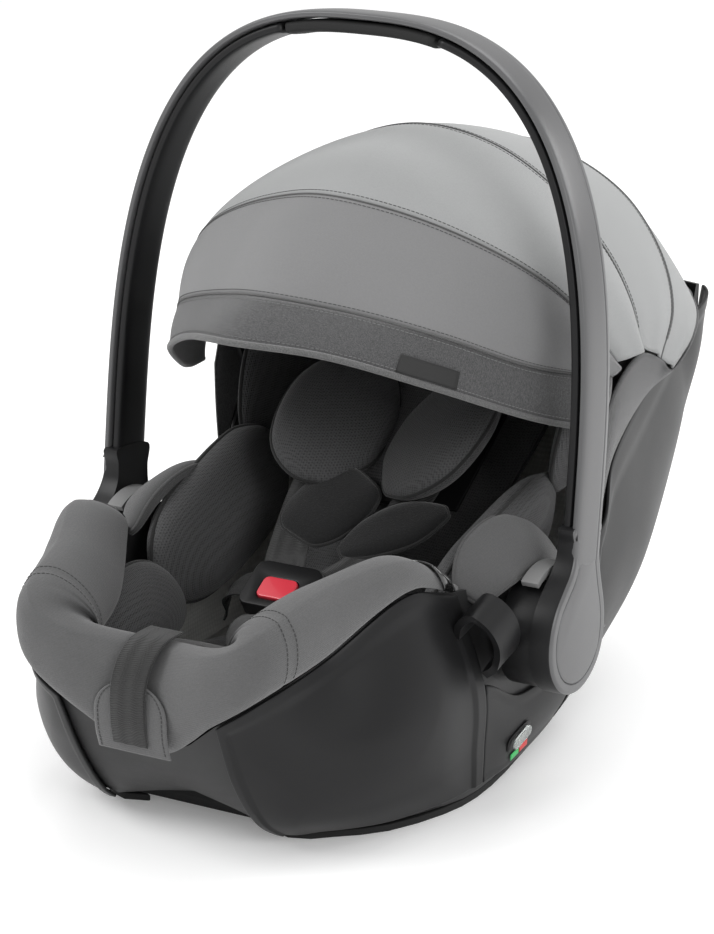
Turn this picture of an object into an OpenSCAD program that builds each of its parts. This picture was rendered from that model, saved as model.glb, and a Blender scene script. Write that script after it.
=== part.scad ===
// Infant car seat: carrier shell with side covers, swivelling carrying handle,
// folding canopy, height-adjustable headrest, three-strap harness and soft pads.
// Millimetres. +Z up, foot end towards -Y, head end towards +Y, resting face at z = 0.

/* [Shell] */
// Half width of the carrier shell
shell_half_w = 166; // [140:1:200]
// Length of the shell ahead of the middle, to the foot end
shell_front_l = 287; // [240:1:345]
// Length of the shell behind the middle, to the head end
shell_back_l = 390; // [325:1:468]
// Height of the shell at the head end
shell_head_h = 306; // [255:1:368]
// Wall of the main shell
shell_wall = 3; // [2.5:0.1:3.6]
// Thickness of the outer cover panels
cover_wall = 2.6; // [2:0.1:3.2]
// Air gap between the shell and its cover panels
cover_gap = 1.4; // [0.8:0.1:1.8]
// Height of the two rocker runners under the shell
runner_h = 6; // [4:0.5:8]
// Width of a rocker runner
runner_w = 20; // [14:1:26]

/* [Handle] */
// Height of the handle bow over the canopy
handle_over = 102; // [85:1:123]
// Side gap between the shell and the outer face of the handle
handle_side = 48; // [46:1:56]
// Depth of the handle section, foot to head
handle_d = 42; // [34:1:50]
// Thickness of the handle section
handle_t = 15; // [12:0.5:17]
// Length of the rubber grip
grip_l = 136; // [100:1:164]
// Lean of the upright handle towards the head end, in degrees
handle_lean = 6.6; // [4:0.2:8]
// Radius of the pivot hub
hub_r = 45; // [42:1:50]
// Radius of the steel pivot pin
pin_r = 8; // [6.5:0.5:10]
// Running clearance on the pivot pin
pin_clear = 0.3; // [0.2:0.05:0.4]
// Travel of a handle release button
release_travel = 5; // [3:0.5:5.5]

/* [Canopy] */
// How far the canopy stands out past the shell on each side
canopy_side = 17; // [14:1:20]
// Thickness of the canopy cloth
cloth_t = 2.4; // [1.6:0.1:3]
// Width of a canopy bow
bow_w = 5; // [4:0.5:6]
// Radius of the canopy hinge stud
stud_r = 4; // [3:0.5:5]

/* [Harness] */
// Width of the harness webbing
web_w = 34; // [28:1:38]
// Thickness of the harness webbing
web_t = 2; // [1.4:0.1:2.6]
// Travel of the buckle's release button
buckle_travel = 4; // [3:0.5:5]
// Travel of the front harness adjuster button
adjuster_travel = 3; // [2:0.5:4]

/* [Seat] */
// Travel of the headrest up the backrest
headrest_travel = 60; // [50:1:72]
// Radius of the steel latch bars under the shell
latch_r = 5; // [4:0.5:6]

/* [Hidden] */
$fn = 32;

// The points below are drawn for a nominal shell and follow the driving dimensions.
nominal = [166, 287, 390, 306];
kx = shell_half_w / nominal[0];
kz = shell_head_h / nominal[3];
// How far the adjuster strap stands ahead of the shell; the origin is midway along the whole length.
strap_ahead = 10.1;
shell_in = cover_wall + cover_gap;
middle_y = (shell_back_l - shell_in - shell_front_l - strap_ahead) / 2;
function at(p) = [
  p[0] * kx,
  p[1] * (p[1] < 0 ? shell_front_l / nominal[1] : shell_back_l / nominal[2]) - middle_y,
  p[2] * kz];
function at_all(list) = [for (p = list) at(p)];

// Curves and sheets
function unit(v) = v / norm(v);
function flip(p) = [-p[0], p[1], p[2]];
function flow(a, b, c, d, t) =
  0.5 * (2 * b + (c - a) * t + (2 * a - 5 * b + 4 * c - d) * t * t + (3 * b - a - 3 * c + d) * t * t * t);
function spline(p, n) = let (m = len(p) - 1) [
  for (i = [0:m - 1]) for (k = [0:n - 1])
    flow(i > 0 ? p[i - 1] : 2 * p[0] - p[1], p[i], p[i + 1], i < m - 1 ? p[i + 2] : 2 * p[m] - p[m - 1], k / n),
  p[m]];
function row(sheet, j) = [for (c = sheet) c[j]];
// A spline that starts and ends on the middle plane and meets its own mirror image smoothly
function half_loop(p, n) = let (m = len(p) - 1)
  [for (i = [0:m - 1]) for (k = [0:n - 1])
    flow(i > 0 ? p[i - 1] : flip(p[1]), p[i], p[i + 1], i < m - 1 ? p[i + 2] : flip(p[m - 1]), k / n),
    p[m]];
function refine(sheet, nu, nv) = let (
  tall = [for (c = sheet) spline(c, nv)],
  wide = [for (j = [0:len(tall[0]) - 1]) half_loop(row(tall, j), nu)])
  [for (i = [0:len(wide[0]) - 1]) row(wide, i)];
function around(sheet, i, j) = i < 0 ? flip(sheet[-i][j])
  : i > len(sheet) - 1 ? flip(sheet[2 * len(sheet) - 2 - i][j]) : sheet[i][j];
function facing(sheet, i, j) = let (m = len(sheet[0]) - 1)
  unit(cross(around(sheet, i + 1, j) - around(sheet, i - 1, j),
    sheet[i][min(j + 1, m)] - sheet[i][max(j - 1, 0)]));
function inset(sheet, d) =
  [for (i = [0:len(sheet) - 1]) [for (j = [0:len(sheet[0]) - 1]) sheet[i][j] - d * facing(sheet, i, j)]];
function step_to(a, b, e) = [for (j = [0:len(a) - 1]) a[j] + e * unit(b[j] - a[j])];
// Columns i0 to i1 and rows j0 to j1 of a sheet, pulled in by e at the two side edges
function patch(sheet, i0, i1, j0, j1, e) = let (
  cut = [for (i = [i0:i1]) [for (j = [j0:j1]) sheet[i][j]]], n = i1 - i0)
  [for (i = [0:n]) i == 0 ? step_to(cut[0], cut[1], e) : i == n ? step_to(cut[n], cut[n - 1], e) : cut[i]];

// Two triangles over four corners, cut along the first diagonal or the other one
function cell(a, b, c, d, turned) = turned ? [[a, b, d], [b, c, d]] : [[a, b, c], [a, c, d]];

// A closed plate between an outer sheet and an inner sheet
module plate(outer, inner) {
  n = len(outer) - 1;
  m = len(outer[0]) - 1;
  w = m + 1;
  b = (n + 1) * w;
  function f(i, j) = i * w + j;
  polyhedron(
    points = concat([for (c = outer) each c], [for (c = inner) each c]),
    faces = concat(
      [for (i = [0:n - 1]) for (j = [0:m - 1]) each concat(
        cell(f(i, j), f(i, j + 1), f(i + 1, j + 1), f(i + 1, j), false),
        cell(b + f(i, j), b + f(i + 1, j), b + f(i + 1, j + 1), b + f(i, j + 1), false))],
      [for (i = [0:n - 1]) each [
        [f(i, 0), f(i + 1, 0), b + f(i + 1, 0)], [f(i, 0), b + f(i + 1, 0), b + f(i, 0)],
        [f(i + 1, m), f(i, m), b + f(i, m)], [f(i + 1, m), b + f(i, m), b + f(i + 1, m)]]],
      [for (j = [0:m - 1]) each [
        [f(0, j + 1), f(0, j), b + f(0, j)], [f(0, j + 1), b + f(0, j), b + f(0, j + 1)],
        [f(n, j), f(n, j + 1), b + f(n, j + 1)], [f(n, j), b + f(n, j + 1), b + f(n, j)]]]));
}

// A closed open-topped tub from the right halves of its outer and inner sheets
module tub(outer, inner) {
  n = len(outer) - 1;
  m = len(outer[0]) - 1;
  w = m + 1;
  k = 2 * n;
  b = k * w;
  function whole(s) = concat(s, [for (i = [n - 1:-1:1]) [for (p = s[i]) flip(p)]]);
  function f(i, j) = (i % k) * w + j;
  function floor_faces(i, o) = i == 0 ? [[o + f(0, 0), o + f(1, 0), o + f(k - 1, 0)]]
    : i == n - 1 ? [[o + f(i, 0), o + f(n, 0), o + f(n + 1, 0)]]
    : [[o + f(i, 0), o + f(i + 1, 0), o + f(k - i - 1, 0)], [o + f(i, 0), o + f(k - i - 1, 0), o + f(k - i, 0)]];
  polyhedron(
    points = concat([for (c = whole(outer)) each c], [for (c = whole(inner)) each c]),
    faces = concat(
      [for (i = [0:k - 1]) for (j = [0:m - 1]) each concat(
        cell(f(i, j), f(i, j + 1), f(i + 1, j + 1), f(i + 1, j), i >= n),
        cell(b + f(i, j), b + f(i + 1, j), b + f(i + 1, j + 1), b + f(i, j + 1), i >= n))],
      [for (i = [0:k - 1]) each [
        [f(i + 1, m), f(i, m), b + f(i, m)], [f(i + 1, m), b + f(i, m), b + f(i + 1, m)]]],
      [for (i = [0:n - 1]) each floor_faces(i, 0)],
      [for (i = [0:n - 1]) for (t = floor_faces(i, b)) [t[2], t[1], t[0]]]));
}

// A closed solid through rings of points; each ring runs clockwise seen from the first end
module loft(rings) {
  n = len(rings) - 1;
  s = len(rings[0]);
  function f(i, j) = i * s + j % s;
  polyhedron(
    points = [for (r = rings) each r],
    faces = concat(
      [[for (j = [0:s - 1]) j]], [[for (j = [s - 1:-1:0]) n * s + j]],
      [for (i = [0:n - 1]) for (j = [0:s - 1]) each [
        [f(i, j), f(i + 1, j + 1), f(i, j + 1)], [f(i, j), f(i + 1, j), f(i + 1, j + 1)]]]));
}
// A superellipse ring at c, half sizes a along u and b along v, with an exponent and a count
function ring(c, u, v, a, b, e, count) = [for (k = [0:count - 1]) let (q = 360 * k / count)
  c + u * a * sign(cos(q)) * pow(abs(cos(q)), e) + v * b * sign(sin(q)) * pow(abs(sin(q)), e)];
// A soft pad along a route: stations of [middle, half width, half thickness], all facing v
module pad(stations, v, e = 0.75, count = 14, ends = 0.45) {
  p = [for (s = stations) at(s[0])];
  n = len(p) - 1;
  fine = spline(p, 3);
  sizes = spline([for (s = stations) [s[1], s[2], 0]], 3);
  m = len(fine) - 1;
  loft([for (i = [0:m]) let (
    t = unit(fine[min(i + 1, m)] - fine[max(i - 1, 0)]),
    u = unit(cross(v, t)),
    w = unit(cross(t, u)),
    k = i == 0 || i == m ? ends : i == 1 || i == m - 1 ? 0.5 + ends / 2 : 1)
    ring(fine[i], u, w, sizes[i][0] * k, sizes[i][1] * k, e, count)]);
}
// A flat strap through points, facing v at every point
module strap(points, v, w, t, n = 3) {
  p = spline(at_all(points), n);
  m = len(p) - 1;
  loft([for (i = [0:m]) let (
    a = unit(p[min(i + 1, m)] - p[max(i - 1, 0)]),
    u = unit(cross(v, a)),
    f = unit(cross(a, u)))
    [p[i] + u * w / 2 + f * t / 2, p[i] - u * w / 2 + f * t / 2,
     p[i] - u * w / 2 - f * t / 2, p[i] + u * w / 2 - f * t / 2]]);
}
module both() {
  children();
  mirror([1, 0, 0]) children();
}

// Outer surface of the carrier, right half: columns from the foot end round to the head end,
// each from the floor edge up to the rim
carrier_columns = [
  [[0, -185, 14], [0, -214, 24], [0, -240, 42], [0, -264, 72]],
  [[72, -200, 0], [66, -232, 22], [65, -262, 62], [67, -287, 114]],
  [[103, -182, 0], [108, -222, 30], [112, -246, 75], [100, -275, 137]],
  [[134, -151, 0], [143, -180, 35], [148, -200, 90], [115, -215, 152]],
  [[155, -102, 0], [163, -125, 40], [166, -135, 95], [145, -150, 187]],
  [[161, -60, 0], [164, -62, 40], [166, -66, 95], [154, -88, 172]],
  [[156, -5, 0], [165, -5, 34], [166, -2, 68], [162, 0, 165]],
  [[142, 75, 4], [162, 82, 40], [171, 86, 85], [177, 100, 172]],
  [[130, 150, 22], [152, 165, 58], [170, 160, 125], [175, 125, 222]],
  [[118, 225, 70], [145, 243, 92], [162, 235, 155], [166, 190, 253]],
  [[105, 290, 138], [128, 308, 156], [146, 322, 210], [150, 290, 283]],
  [[78, 340, 196], [100, 362, 225], [122, 380, 262], [135, 374, 306]],
  [[0, 352, 214], [0, 372, 236], [0, 386, 266], [0, 390, 306]]];
fine_u = 2;
fine_v = 3;
carrier = refine([for (c = carrier_columns) at_all(c)], fine_u, fine_v);
top_row = len(carrier[0]) - 1;
// Column numbers where the covers meet
col_foot = 1 * fine_u;
col_wing = 5 * fine_u;
col_rear = 7 * fine_u;
col_head = 11 * fine_u;
cover_edge = 0.6;
function lift(sheet, z) = [for (c = sheet) [for (j = [0:len(c) - 1]) c[j] + [0, 0, j == 0 ? z : 0]]];
shell_outer = lift(inset(carrier, shell_in), runner_h);
shell_inner = lift(inset(carrier, shell_in + shell_wall), runner_h + shell_wall);

// Handle frame: along the bow from the pivot, across it towards the head end
pivot_y = at([0, -10, 0])[1];
pivot_z = 125 * kz;
pivot = [0, pivot_y, pivot_z];
canopy_top_z = 468 * kz;
handle_half = shell_half_w + handle_side;
handle_shift = 9;
handle_h = (canopy_top_z + handle_over - pivot_z) / cos(handle_lean) + handle_shift * tan(handle_lean);
hub_disc_t = 19;
hub_out = handle_half + 1;
hub_in = hub_out - hub_disc_t;
drum_out = hub_in - 0.5;
drum_in = shell_half_w + 3;
neck_h = hub_r + 2;
module handle_frame() {
  translate(pivot) rotate([-handle_lean, 0, 0]) children();
}
straight_h = 100;
bow_power = 2.75;
skin_t = 9;
liner_gap = 0.5;
grip_gap = 0.9;
function bow_point(q) = [
  (handle_half - handle_t / 2) * sign(cos(q)) * pow(abs(cos(q)), 2 / bow_power),
  straight_h + (handle_h - handle_t / 2 - straight_h) * pow(sin(q), 2 / bow_power)];
bow_steps = 30;
bow_line = concat(
  [[handle_half - handle_t / 2, neck_h + 0.1]],
  [for (k = [0:bow_steps]) let (s = k / bow_steps, q = 180 * (s - 0.09 * sin(360 * s) * 0.6)) bow_point(q)],
  [[-handle_half + handle_t / 2, neck_h + 0.1]]);
// Rings of a bar along part of the bow, between two offsets across its thickness
function bar(line, low, high, depth, e) = let (m = len(line) - 1)
  [for (i = [0:m]) let (
    a = line[max(i - 1, 0)], b = line[min(i + 1, m)],
    t = unit([b[0] - a[0], 0, b[1] - a[1]]),
    out = [t[2], 0, -t[0]],
    c = [line[i][0], handle_shift, line[i][1]] + out * (low + high) / 2)
    ring(c, out, [0, 1, 0], (high - low) / 2, depth / 2, e, 12)];
grip_limit = grip_l / 2;

// Canopy: seams from the visor edge back to the shell, each from the middle to the hinge
canopy_half = shell_half_w + canopy_side;
canopy_pivot = at([0, 110, 290]);
seam_x = [0, 60, 115, 155, 176, 183];
seams = [
  [[-150, 356], [-118, 346], [-62, 318], [12, 283], [57, 267], [88, 264]],
  [[-108, 382], [-78, 370], [-43, 351], [14, 322], [68, 305], [104, 296]],
  [[-18, 441], [0, 429], [20, 407], [44, 379], [73, 345], [109, 306]],
  [[141, 468], [146, 455], [146, 423], [145, 383], [147, 345], [152, 308]],
  [[288, 433], [278, 423], [263, 399], [244, 362], [224, 323], [190, 290]],
  [[372, 334], [368, 331], [350, 316], [315, 303], [266, 290], [214, 276]]];
kc = canopy_half / (nominal[0] + 17);
function seam_point(s, k) = let (p = at([0, seams[s][k][0], seams[s][k][1]])) [seam_x[k] * kc, p[1], p[2]];
function seam(s) = [for (k = [0:5]) seam_point(s, k)];
function arch(s, n) = let (h = seam(s)) spline(concat([for (k = [5:-1:1]) flip(h[k])], h), n);
function bulge(a, b, t, out) = [for (k = [0:len(a) - 1])
  let (mid = (1 - t) * a[k] + t * b[k], away = unit(mid - canopy_pivot - [mid[0] * 0.4, 0, 0]))
  mid + away * out * 4 * t * (1 - t)];
// Cloth between two seams, from its near to its far share, bowed outwards
module cloth(s0, s1, t0, t1, out, steps = 3) {
  a = arch(s0, 3);
  b = arch(s1, 3);
  sheet = [for (i = [0:steps]) bulge(a, b, t0 + (t1 - t0) * i / steps, out)];
  n = len(sheet) - 1;
  m = len(a) - 1;
  under = [for (i = [0:n]) [for (j = [0:m]) sheet[i][j] + cloth_t * unit(cross(
    sheet[min(i + 1, n)][j] - sheet[max(i - 1, 0)][j],
    sheet[i][min(j + 1, m)] - sheet[i][max(j - 1, 0)]))]];
  plate(under, sheet);
}
cloth_gap = 0.012;
// A bow: a bent bar in a plane through the hinge axis, just under a seam
bow_drop = 12;
module bow(angle, radius, half_w) {
  steps = 22;
  line = [for (k = [0:steps]) let (q = 180 * k / steps) [
    half_w * cos(q), max(stud_r + 2, radius * pow(sin(q), 1.15))]];
  translate(canopy_pivot) rotate([-angle, 0, 0]) {
    loft([for (i = [0:steps]) let (
      a = line[max(i - 1, 0)], b = line[min(i + 1, steps)],
      t = unit([b[0] - a[0], a[1] - b[1], 0]),
      out = [-t[1], t[0], 0])
      ring([line[i][0], -line[i][1], 0], out, [0, 0, 1], 1.25, bow_w / 2, 0.8, 8)]);
    both() translate([half_w - 1.25, 0, 0]) rotate([0, 90, 0]) difference() {
      cylinder(r = stud_r + 4, h = 2.5);
      translate([0, 0, -1]) cylinder(r = stud_r + 0.3, h = 5);
    }
  }
}

// Bracket on each inner side of the shell with the stud that the three bows turn on
bracket_t = 4;
module canopy_studs() {
  eye_out = canopy_half - 9;
  plate_in = canopy_half - 15.8 - 2.5 - 0.6 - bracket_t;
  foot = at([0, 146, 224]);
  color([0.09, 0.09, 0.09]) both() {
    translate([plate_in, canopy_pivot[1], canopy_pivot[2]]) rotate([0, 90, 0])
      cylinder(r = stud_r, h = eye_out + 1 - plate_in);
    hull() for (p = [canopy_pivot, foot]) translate([plate_in, p[1], p[2]]) rotate([0, 90, 0])
      cylinder(r = stud_r + 5, h = bracket_t);
  }
}
module base_shell() {
  color([0.16, 0.16, 0.17]) difference() {
    tub(shell_outer, shell_inner);
    for (y = latch_y) both() translate([latch_window_x - 20, at([0, y, 0])[1] - 19, -1]) cube([40, 38, 24]);
    both() translate([shell_half_w / 2, pivot_y, pivot_z]) rotate([0, 90, 0])
      cylinder(r = pin_r + 0.5, h = shell_half_w);
  }
}
module wing_cover_right() {
  color([0.27, 0.27, 0.28]) plate(
    patch(carrier, col_foot, col_wing, 1, top_row, cover_edge),
    patch(inset(carrier, cover_wall), col_foot, col_wing, 1, top_row, cover_edge));
}
module wing_cover_left() {
  mirror([1, 0, 0]) wing_cover_right();
}
side_top_row = 2 * fine_v;
module side_cover_right() {
  color([0.25, 0.25, 0.26]) plate(
    patch(carrier, col_wing, col_rear, 1, side_top_row, cover_edge),
    patch(inset(carrier, cover_wall), col_wing, col_rear, 1, side_top_row, cover_edge));
}
module side_cover_left() {
  mirror([1, 0, 0]) side_cover_right();
}
module rear_cover_right() {
  color([0.24, 0.24, 0.25]) plate(
    patch(carrier, col_rear, col_head, 1, top_row, cover_edge),
    patch(inset(carrier, cover_wall), col_rear, col_head, 1, top_row, cover_edge));
}
module rear_cover_left() {
  mirror([1, 0, 0]) rear_cover_right();
}
// Panel across the underside of the backrest, between the two rear covers
module back_panel() {
  first = col_rear + 2;
  last = len(carrier) - 1;
  half = [for (i = [first:last - 1]) carrier[i][0]];
  function across(d, x) = [for (p = half) let (q = p + [0, 0, -d]) [q[0] * x, q[1] + d * 0.6, q[2]]];
  shares = [0.94, 0.5, 0, -0.5, -0.94];
  color([0.13, 0.13, 0.14]) difference() {
    plate([for (x = shares) across(0.4, x)], [for (x = shares) across(0.4 + cover_wall, x)]);
    at_screws() translate([0, 0, -6]) cylinder(r = screw_r + 0.3, h = 16);
  }
}
module runner_right() {
  front = fine_u;
  back = col_rear;
  outer = [for (i = [front:back]) shell_outer[i][0]];
  edge = [for (p = outer) [p[0], p[1]]];
  inner = [for (p = outer) [p[0] - runner_w, p[1] + runner_w * 0.35 * (p[1] < 0 ? 1 : -1)]];
  color([0.08, 0.08, 0.08]) linear_extrude(runner_h - 0.3)
    polygon(concat(edge, [for (i = [len(inner) - 1:-1:0]) inner[i]]));
}
module runner_left() {
  mirror([1, 0, 0]) runner_right();
}
// Two steel bars that the car base and the pushchair latches grip
latch_y = [-150, 96];
latch_z = 26;
latch_half = 118 * kx;
latch_window_x = 62 * kx;
module latch_bars() {
  color([0.75, 0.75, 0.77]) for (y = latch_y) translate([-latch_half, at([0, y, 0])[1], latch_z])
    rotate([0, 90, 0]) cylinder(r = latch_r, h = 2 * latch_half);
}
// Level window: a round-ended bubble housing on the right side cover
module level_window() {
  p = at([166, -9, 34]);
  color([0.8, 0.82, 0.8]) translate([p[0] + 0.9, p[1], p[2]]) rotate([0, 90, 0]) rotate([0, 0, 15])
    linear_extrude(2.4) union() {
      square([8, 20], center = true);
      for (s = [-1, 1]) translate([0, 10 * s]) circle(r = 4);
    }
}
// Foam liner between the shell and the pads
liner_t = 9;
liner_lift = 20;
module energy_liner() {
  outer = inset(carrier, shell_in + shell_wall + 1.2);
  inner = inset(carrier, shell_in + shell_wall + 1.2 + liner_t);
  function low(s, add) = lift([for (c = s) [for (j = [1:top_row - 2]) c[j]]], add);
  color([0.86, 0.86, 0.84]) tub(low(outer, liner_lift), low(inner, liner_lift + liner_t));
}

// Fixed black drum that the handle turns on
module hub_drum_right() {
  color([0.05, 0.05, 0.05]) translate([0, pivot_y, pivot_z]) difference() {
    rotate([0, 90, 0]) translate([0, 0, drum_in]) cylinder(r = hub_r - 2, h = drum_out - drum_in);
    rotate([0, 90, 0]) translate([0, 0, drum_in - 1]) cylinder(r = pin_r, h = 60);
    rotate([release_angle, 0, 0]) translate([release_mid - stem_half - 0.4, -stem_half - 0.4, hub_r - 22])
      cube([2 * stem_half + 0.8, 2 * stem_half + 0.8, 30]);
  }
}
module hub_drum_left() {
  mirror([1, 0, 0]) hub_drum_right();
}
module pivot_pins() {
  color([0.72, 0.72, 0.74]) both() translate([drum_in - 18, pivot_y, pivot_z]) rotate([0, 90, 0]) {
    cylinder(r = pin_r, h = hub_out - 3.4 - drum_in + 18);
    cylinder(r = pin_r + 5, h = 3);
  }
}
// Release button: a curved tab on top of the drum with a stem that slides into it
release_angle = 4;
release_w = 14;
release_mid = drum_out - 9;
stem_half = 4;
tab_low = hub_r - 2 + release_travel + 0.6;
module release_button_right() {
  color([0.5, 0.5, 0.5]) translate([0, pivot_y, pivot_z]) rotate([release_angle, 0, 0]) {
    rotate([0, 90, 0]) rotate([0, 0, 180 - 27]) translate([0, 0, release_mid - release_w / 2])
      rotate_extrude(angle = 54) translate([tab_low, 0]) square([5, release_w]);
    translate([release_mid - stem_half, -stem_half, hub_r - 12])
      cube([2 * stem_half, 2 * stem_half, tab_low - hub_r + 13]);
  }
}
module release_button_left() {
  mirror([1, 0, 0]) release_button_right();
}
module belt_hook_right() {
  color([0.04, 0.04, 0.04]) strap([[164, -88, 152], [173, -94, 166], [186, -90, 160], [190, -78, 142],
    [184, -70, 122], [171, -70, 112]], unit([0.2, 1, 0.5]), 5, 20);
}
module belt_hook_left() {
  mirror([1, 0, 0]) belt_hook_right();
}
// Gloss black band over the top of the foot cushion, down to the belt hook
module rim_trim_right() {
  color([0.03, 0.03, 0.03]) strap([[104, -140, 210], [115, -138, 217], [131, -134, 221], [149, -124, 216],
    [163, -108, 202], [168, -97, 182]], unit([0, 1, 0.5]), 16, 3);
}
module rim_trim_left() {
  mirror([1, 0, 0]) rim_trim_right();
}
// Small adapter pads under the hubs for a pushchair frame
module adapter_pads() {
  p = at([0, 40, 76]);
  color([0.06, 0.06, 0.06]) both() translate([shell_half_w + 1.5, p[1], p[2]]) rotate([24, 0, 0])
    cube([14, 30, 12], center = false);
}

// Foot cushion: a horseshoe roll that sits on the rim over the foot end and both wings.
// Each carrier column from the foot end gives [height, reach outwards, reach inwards].
foot_sizes = [[84, 24, 52], [54, 9, 55], [50, 9, 52], [52, 14, 46], [25, 8, 42], [9, 4, 26]];
foot_profile = [[0.1, 0.02], [0.75, 0.18], [1, 0.45], [0.8, 0.75], [0.1, 0.96], [-0.3, 1], [-0.65, 0.84],
  [-0.92, 0.55], [-1, 0.22], [-0.85, -0.02], [-0.5, -0.06], [-0.3, 0.03]];
foot_gap = 2.5;
foot_fine = half_loop(concat(foot_sizes, [foot_sizes[4]]), fine_u);
function foot_ring(i, shrink) = let (
  p = carrier[i][top_row],
  n = facing(carrier, i, top_row),
  out = unit([n[0], n[1], 0]),
  s = foot_fine[i])
  [for (q = foot_profile) p + [0, 0, foot_gap + q[1] * s[0] * kz * shrink]
    + out * q[0] * (q[0] > 0 ? s[1] : s[2]) * kx * shrink];
module foot_cushion() {
  right = [for (i = [col_wing:-1:0]) foot_ring(i, i == col_wing ? 0.8 : 1)];
  left = [for (i = [1:col_wing]) [for (p = foot_ring(i, i == col_wing ? 0.8 : 1)) flip(p)]];
  color([0.4, 0.4, 0.4]) loft(concat(right, left));
}
// Round-topped patch and woven strap over the middle of the foot cushion
module adjuster_patch() {
  color([0.36, 0.36, 0.36]) strap([[0, -291, 138], [0, -292.8, 120], [0, -292.1, 100], [0, -287.5, 84]],
    [0, -1, 0], 64, 1.6);
}
module adjuster_strap() {
  color([0.08, 0.08, 0.08]) strap([[0, -244, 164], [0, -268, 163], [0, -286, 152], [0, -295.2, 134],
    [0, -295.9, 110], [0, -293, 92]], [0, -0.9, 0.4], web_w - 4, web_t);
}
// Push button for the harness adjuster, in the front edge of the seat
button_at = at([0, -206, 130]);
button_r = 9;
button_stem_r = 4;
button_stem_l = 30;
module adjuster_button() {
  color([0.1, 0.1, 0.1]) translate(button_at) {
    cylinder(r = button_r, h = 4 + adjuster_travel);
    translate([0, 0, -button_stem_l]) cylinder(r = button_stem_r, h = button_stem_l + 1);
  }
}

// Seat pads
module leg_roll() {
  color([0.35, 0.35, 0.36]) pad([[[-62, -168, 106], 20, 15], [[0, -176, 106], 24, 17], [[62, -168, 106], 20, 15]],
    [0, -0.3, 1]);
}
module seat_cushion() {
  color([0.3, 0.3, 0.31]) pad([[[0, -146, 92], 62, 12], [[0, -110, 88], 72, 15], [[0, -60, 80], 74, 15],
    [[0, -22, 78], 70, 13]], [0, 0, 1]);
}
module thigh_wing_right() {
  color([0.2, 0.2, 0.21]) pad([[[84, -196, 132], 16, 9], [[92, -162, 134], 29, 13], [[97, -118, 128], 32, 14],
    [[100, -76, 112], 24, 11]], [-1, 0, 0.35]);
}
module thigh_wing_left() {
  mirror([1, 0, 0]) thigh_wing_right();
}
module bolster_right() {
  color([0.18, 0.18, 0.19]) pad([[[108, -30, 100], 22, 9], [[114, -8, 130], 44, 13], [[119, 12, 165], 54, 15],
    [[120, 38, 200], 50, 14], [[117, 62, 232], 30, 9]], [-1, 0, 0.2]);
}
module bolster_left() {
  mirror([1, 0, 0]) bolster_right();
}
module side_pad_right() {
  color([0.36, 0.36, 0.36]) pad([[[149, -60, 173], 12, 8], [[153, -36, 189], 15, 9], [[154, 6, 190], 15, 9],
    [[154, 46, 173], 13, 8]], unit([0.6, 0, 0.8]));
}
module side_pad_left() {
  mirror([1, 0, 0]) side_pad_right();
}
module backrest_pad() {
  color([0.17, 0.17, 0.18]) pad([[[0, 2, 92], 66, 10], [[0, 60, 128], 72, 12], [[0, 150, 190], 78, 12],
    [[0, 246, 256], 80, 12], [[0, 318, 306], 70, 10]], [0, -0.6, 0.8]);
}
module head_wall_right() {
  color([0.19, 0.19, 0.2]) pad([[[141, 96, 214], 22, 7], [[143, 140, 250], 44, 9], [[138, 210, 292], 46, 10],
    [[126, 280, 322], 36, 9]], [-1, 0, 0.15]);
}
module head_wall_left() {
  mirror([1, 0, 0]) head_wall_right();
}
// Headrest: stiff board and a pad with two ear lobes
rest_dir = unit(at([0, 96, 66]) - at([0, 0, 0]));
rest_mid = at([0, 118, 214]);
module on_backrest() {
  multmatrix([[1, 0, 0, rest_mid[0]], [0, rest_dir[1], -rest_dir[2], rest_mid[1]],
    [0, rest_dir[2], rest_dir[1], rest_mid[2]], [0, 0, 0, 1]]) children();
}
module headrest_shell() {
  color([0.1, 0.1, 0.1]) on_backrest() difference() {
    translate([-64 * kx, -58, -8]) cube([128 * kx, 116, 3]);
    for (s = [-1, 1]) translate([s * 26 - 20, -20, -20]) cube([40, 6, 40]);
  }
}
module headrest_pad() {
  color([0.16, 0.16, 0.17]) {
    pad([[[0, 54, 187], 50, 9], [[0, 96, 215], 66, 12], [[0, 140, 244], 66, 12], [[0, 170, 266], 50, 9]],
      [0, -0.55, 0.83]);
    both() pad([[[58, 32, 224], 22, 9], [[62, 56, 240], 38, 15], [[63, 86, 258], 40, 16], [[60, 114, 276], 26, 10]],
      unit([-0.45, -0.5, 0.75]));
  }
}
// Harness
module harness_webbing() {
  color([0.06, 0.06, 0.06]) both() {
    strap([[48, 70, 214], [47, 50, 202], [45, 28, 188], [40, 2, 170], [32, -26, 154], [22, -48, 146]],
      [0, -0.45, 0.9], web_w, web_t);
    strap([[88, -26, 98], [80, -34, 116], [64, -44, 128], [44, -52, 134], [32, -56, 136]],
      [0, -0.5, 0.86], web_w - 8, web_t);
  }
}
module chest_pad_right() {
  color([0.12, 0.12, 0.12]) pad([[[46, 42, 209], 16, 5], [[46, 24, 199], 25, 8], [[41, -1, 184], 26, 8],
    [[35, -22, 171], 18, 6]], [0.1, -0.5, 0.85]);
}
module chest_pad_left() {
  mirror([1, 0, 0]) chest_pad_right();
}
module crotch_pad() {
  color([0.38, 0.38, 0.38]) pad([[[0, -122, 107], 26, 6], [[0, -111, 117], 30, 7], [[0, -100, 126], 28, 5]],
    [0, -0.75, 0.6]);
}
buckle_at = at([0, -80, 137]);
buckle_tilt = 32;
buckle_w = 58;
buckle_l = 44;
buckle_t = 17;
button_w = 30;
button_l = 20;
button_gap = 0.5;
module rounded_slab(w, l, t, r) {
  linear_extrude(t) offset(r = r) square([w - 2 * r, l - 2 * r], center = true);
}
module in_buckle() {
  translate(buckle_at) rotate([buckle_tilt, 0, 0]) children();
}
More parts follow.
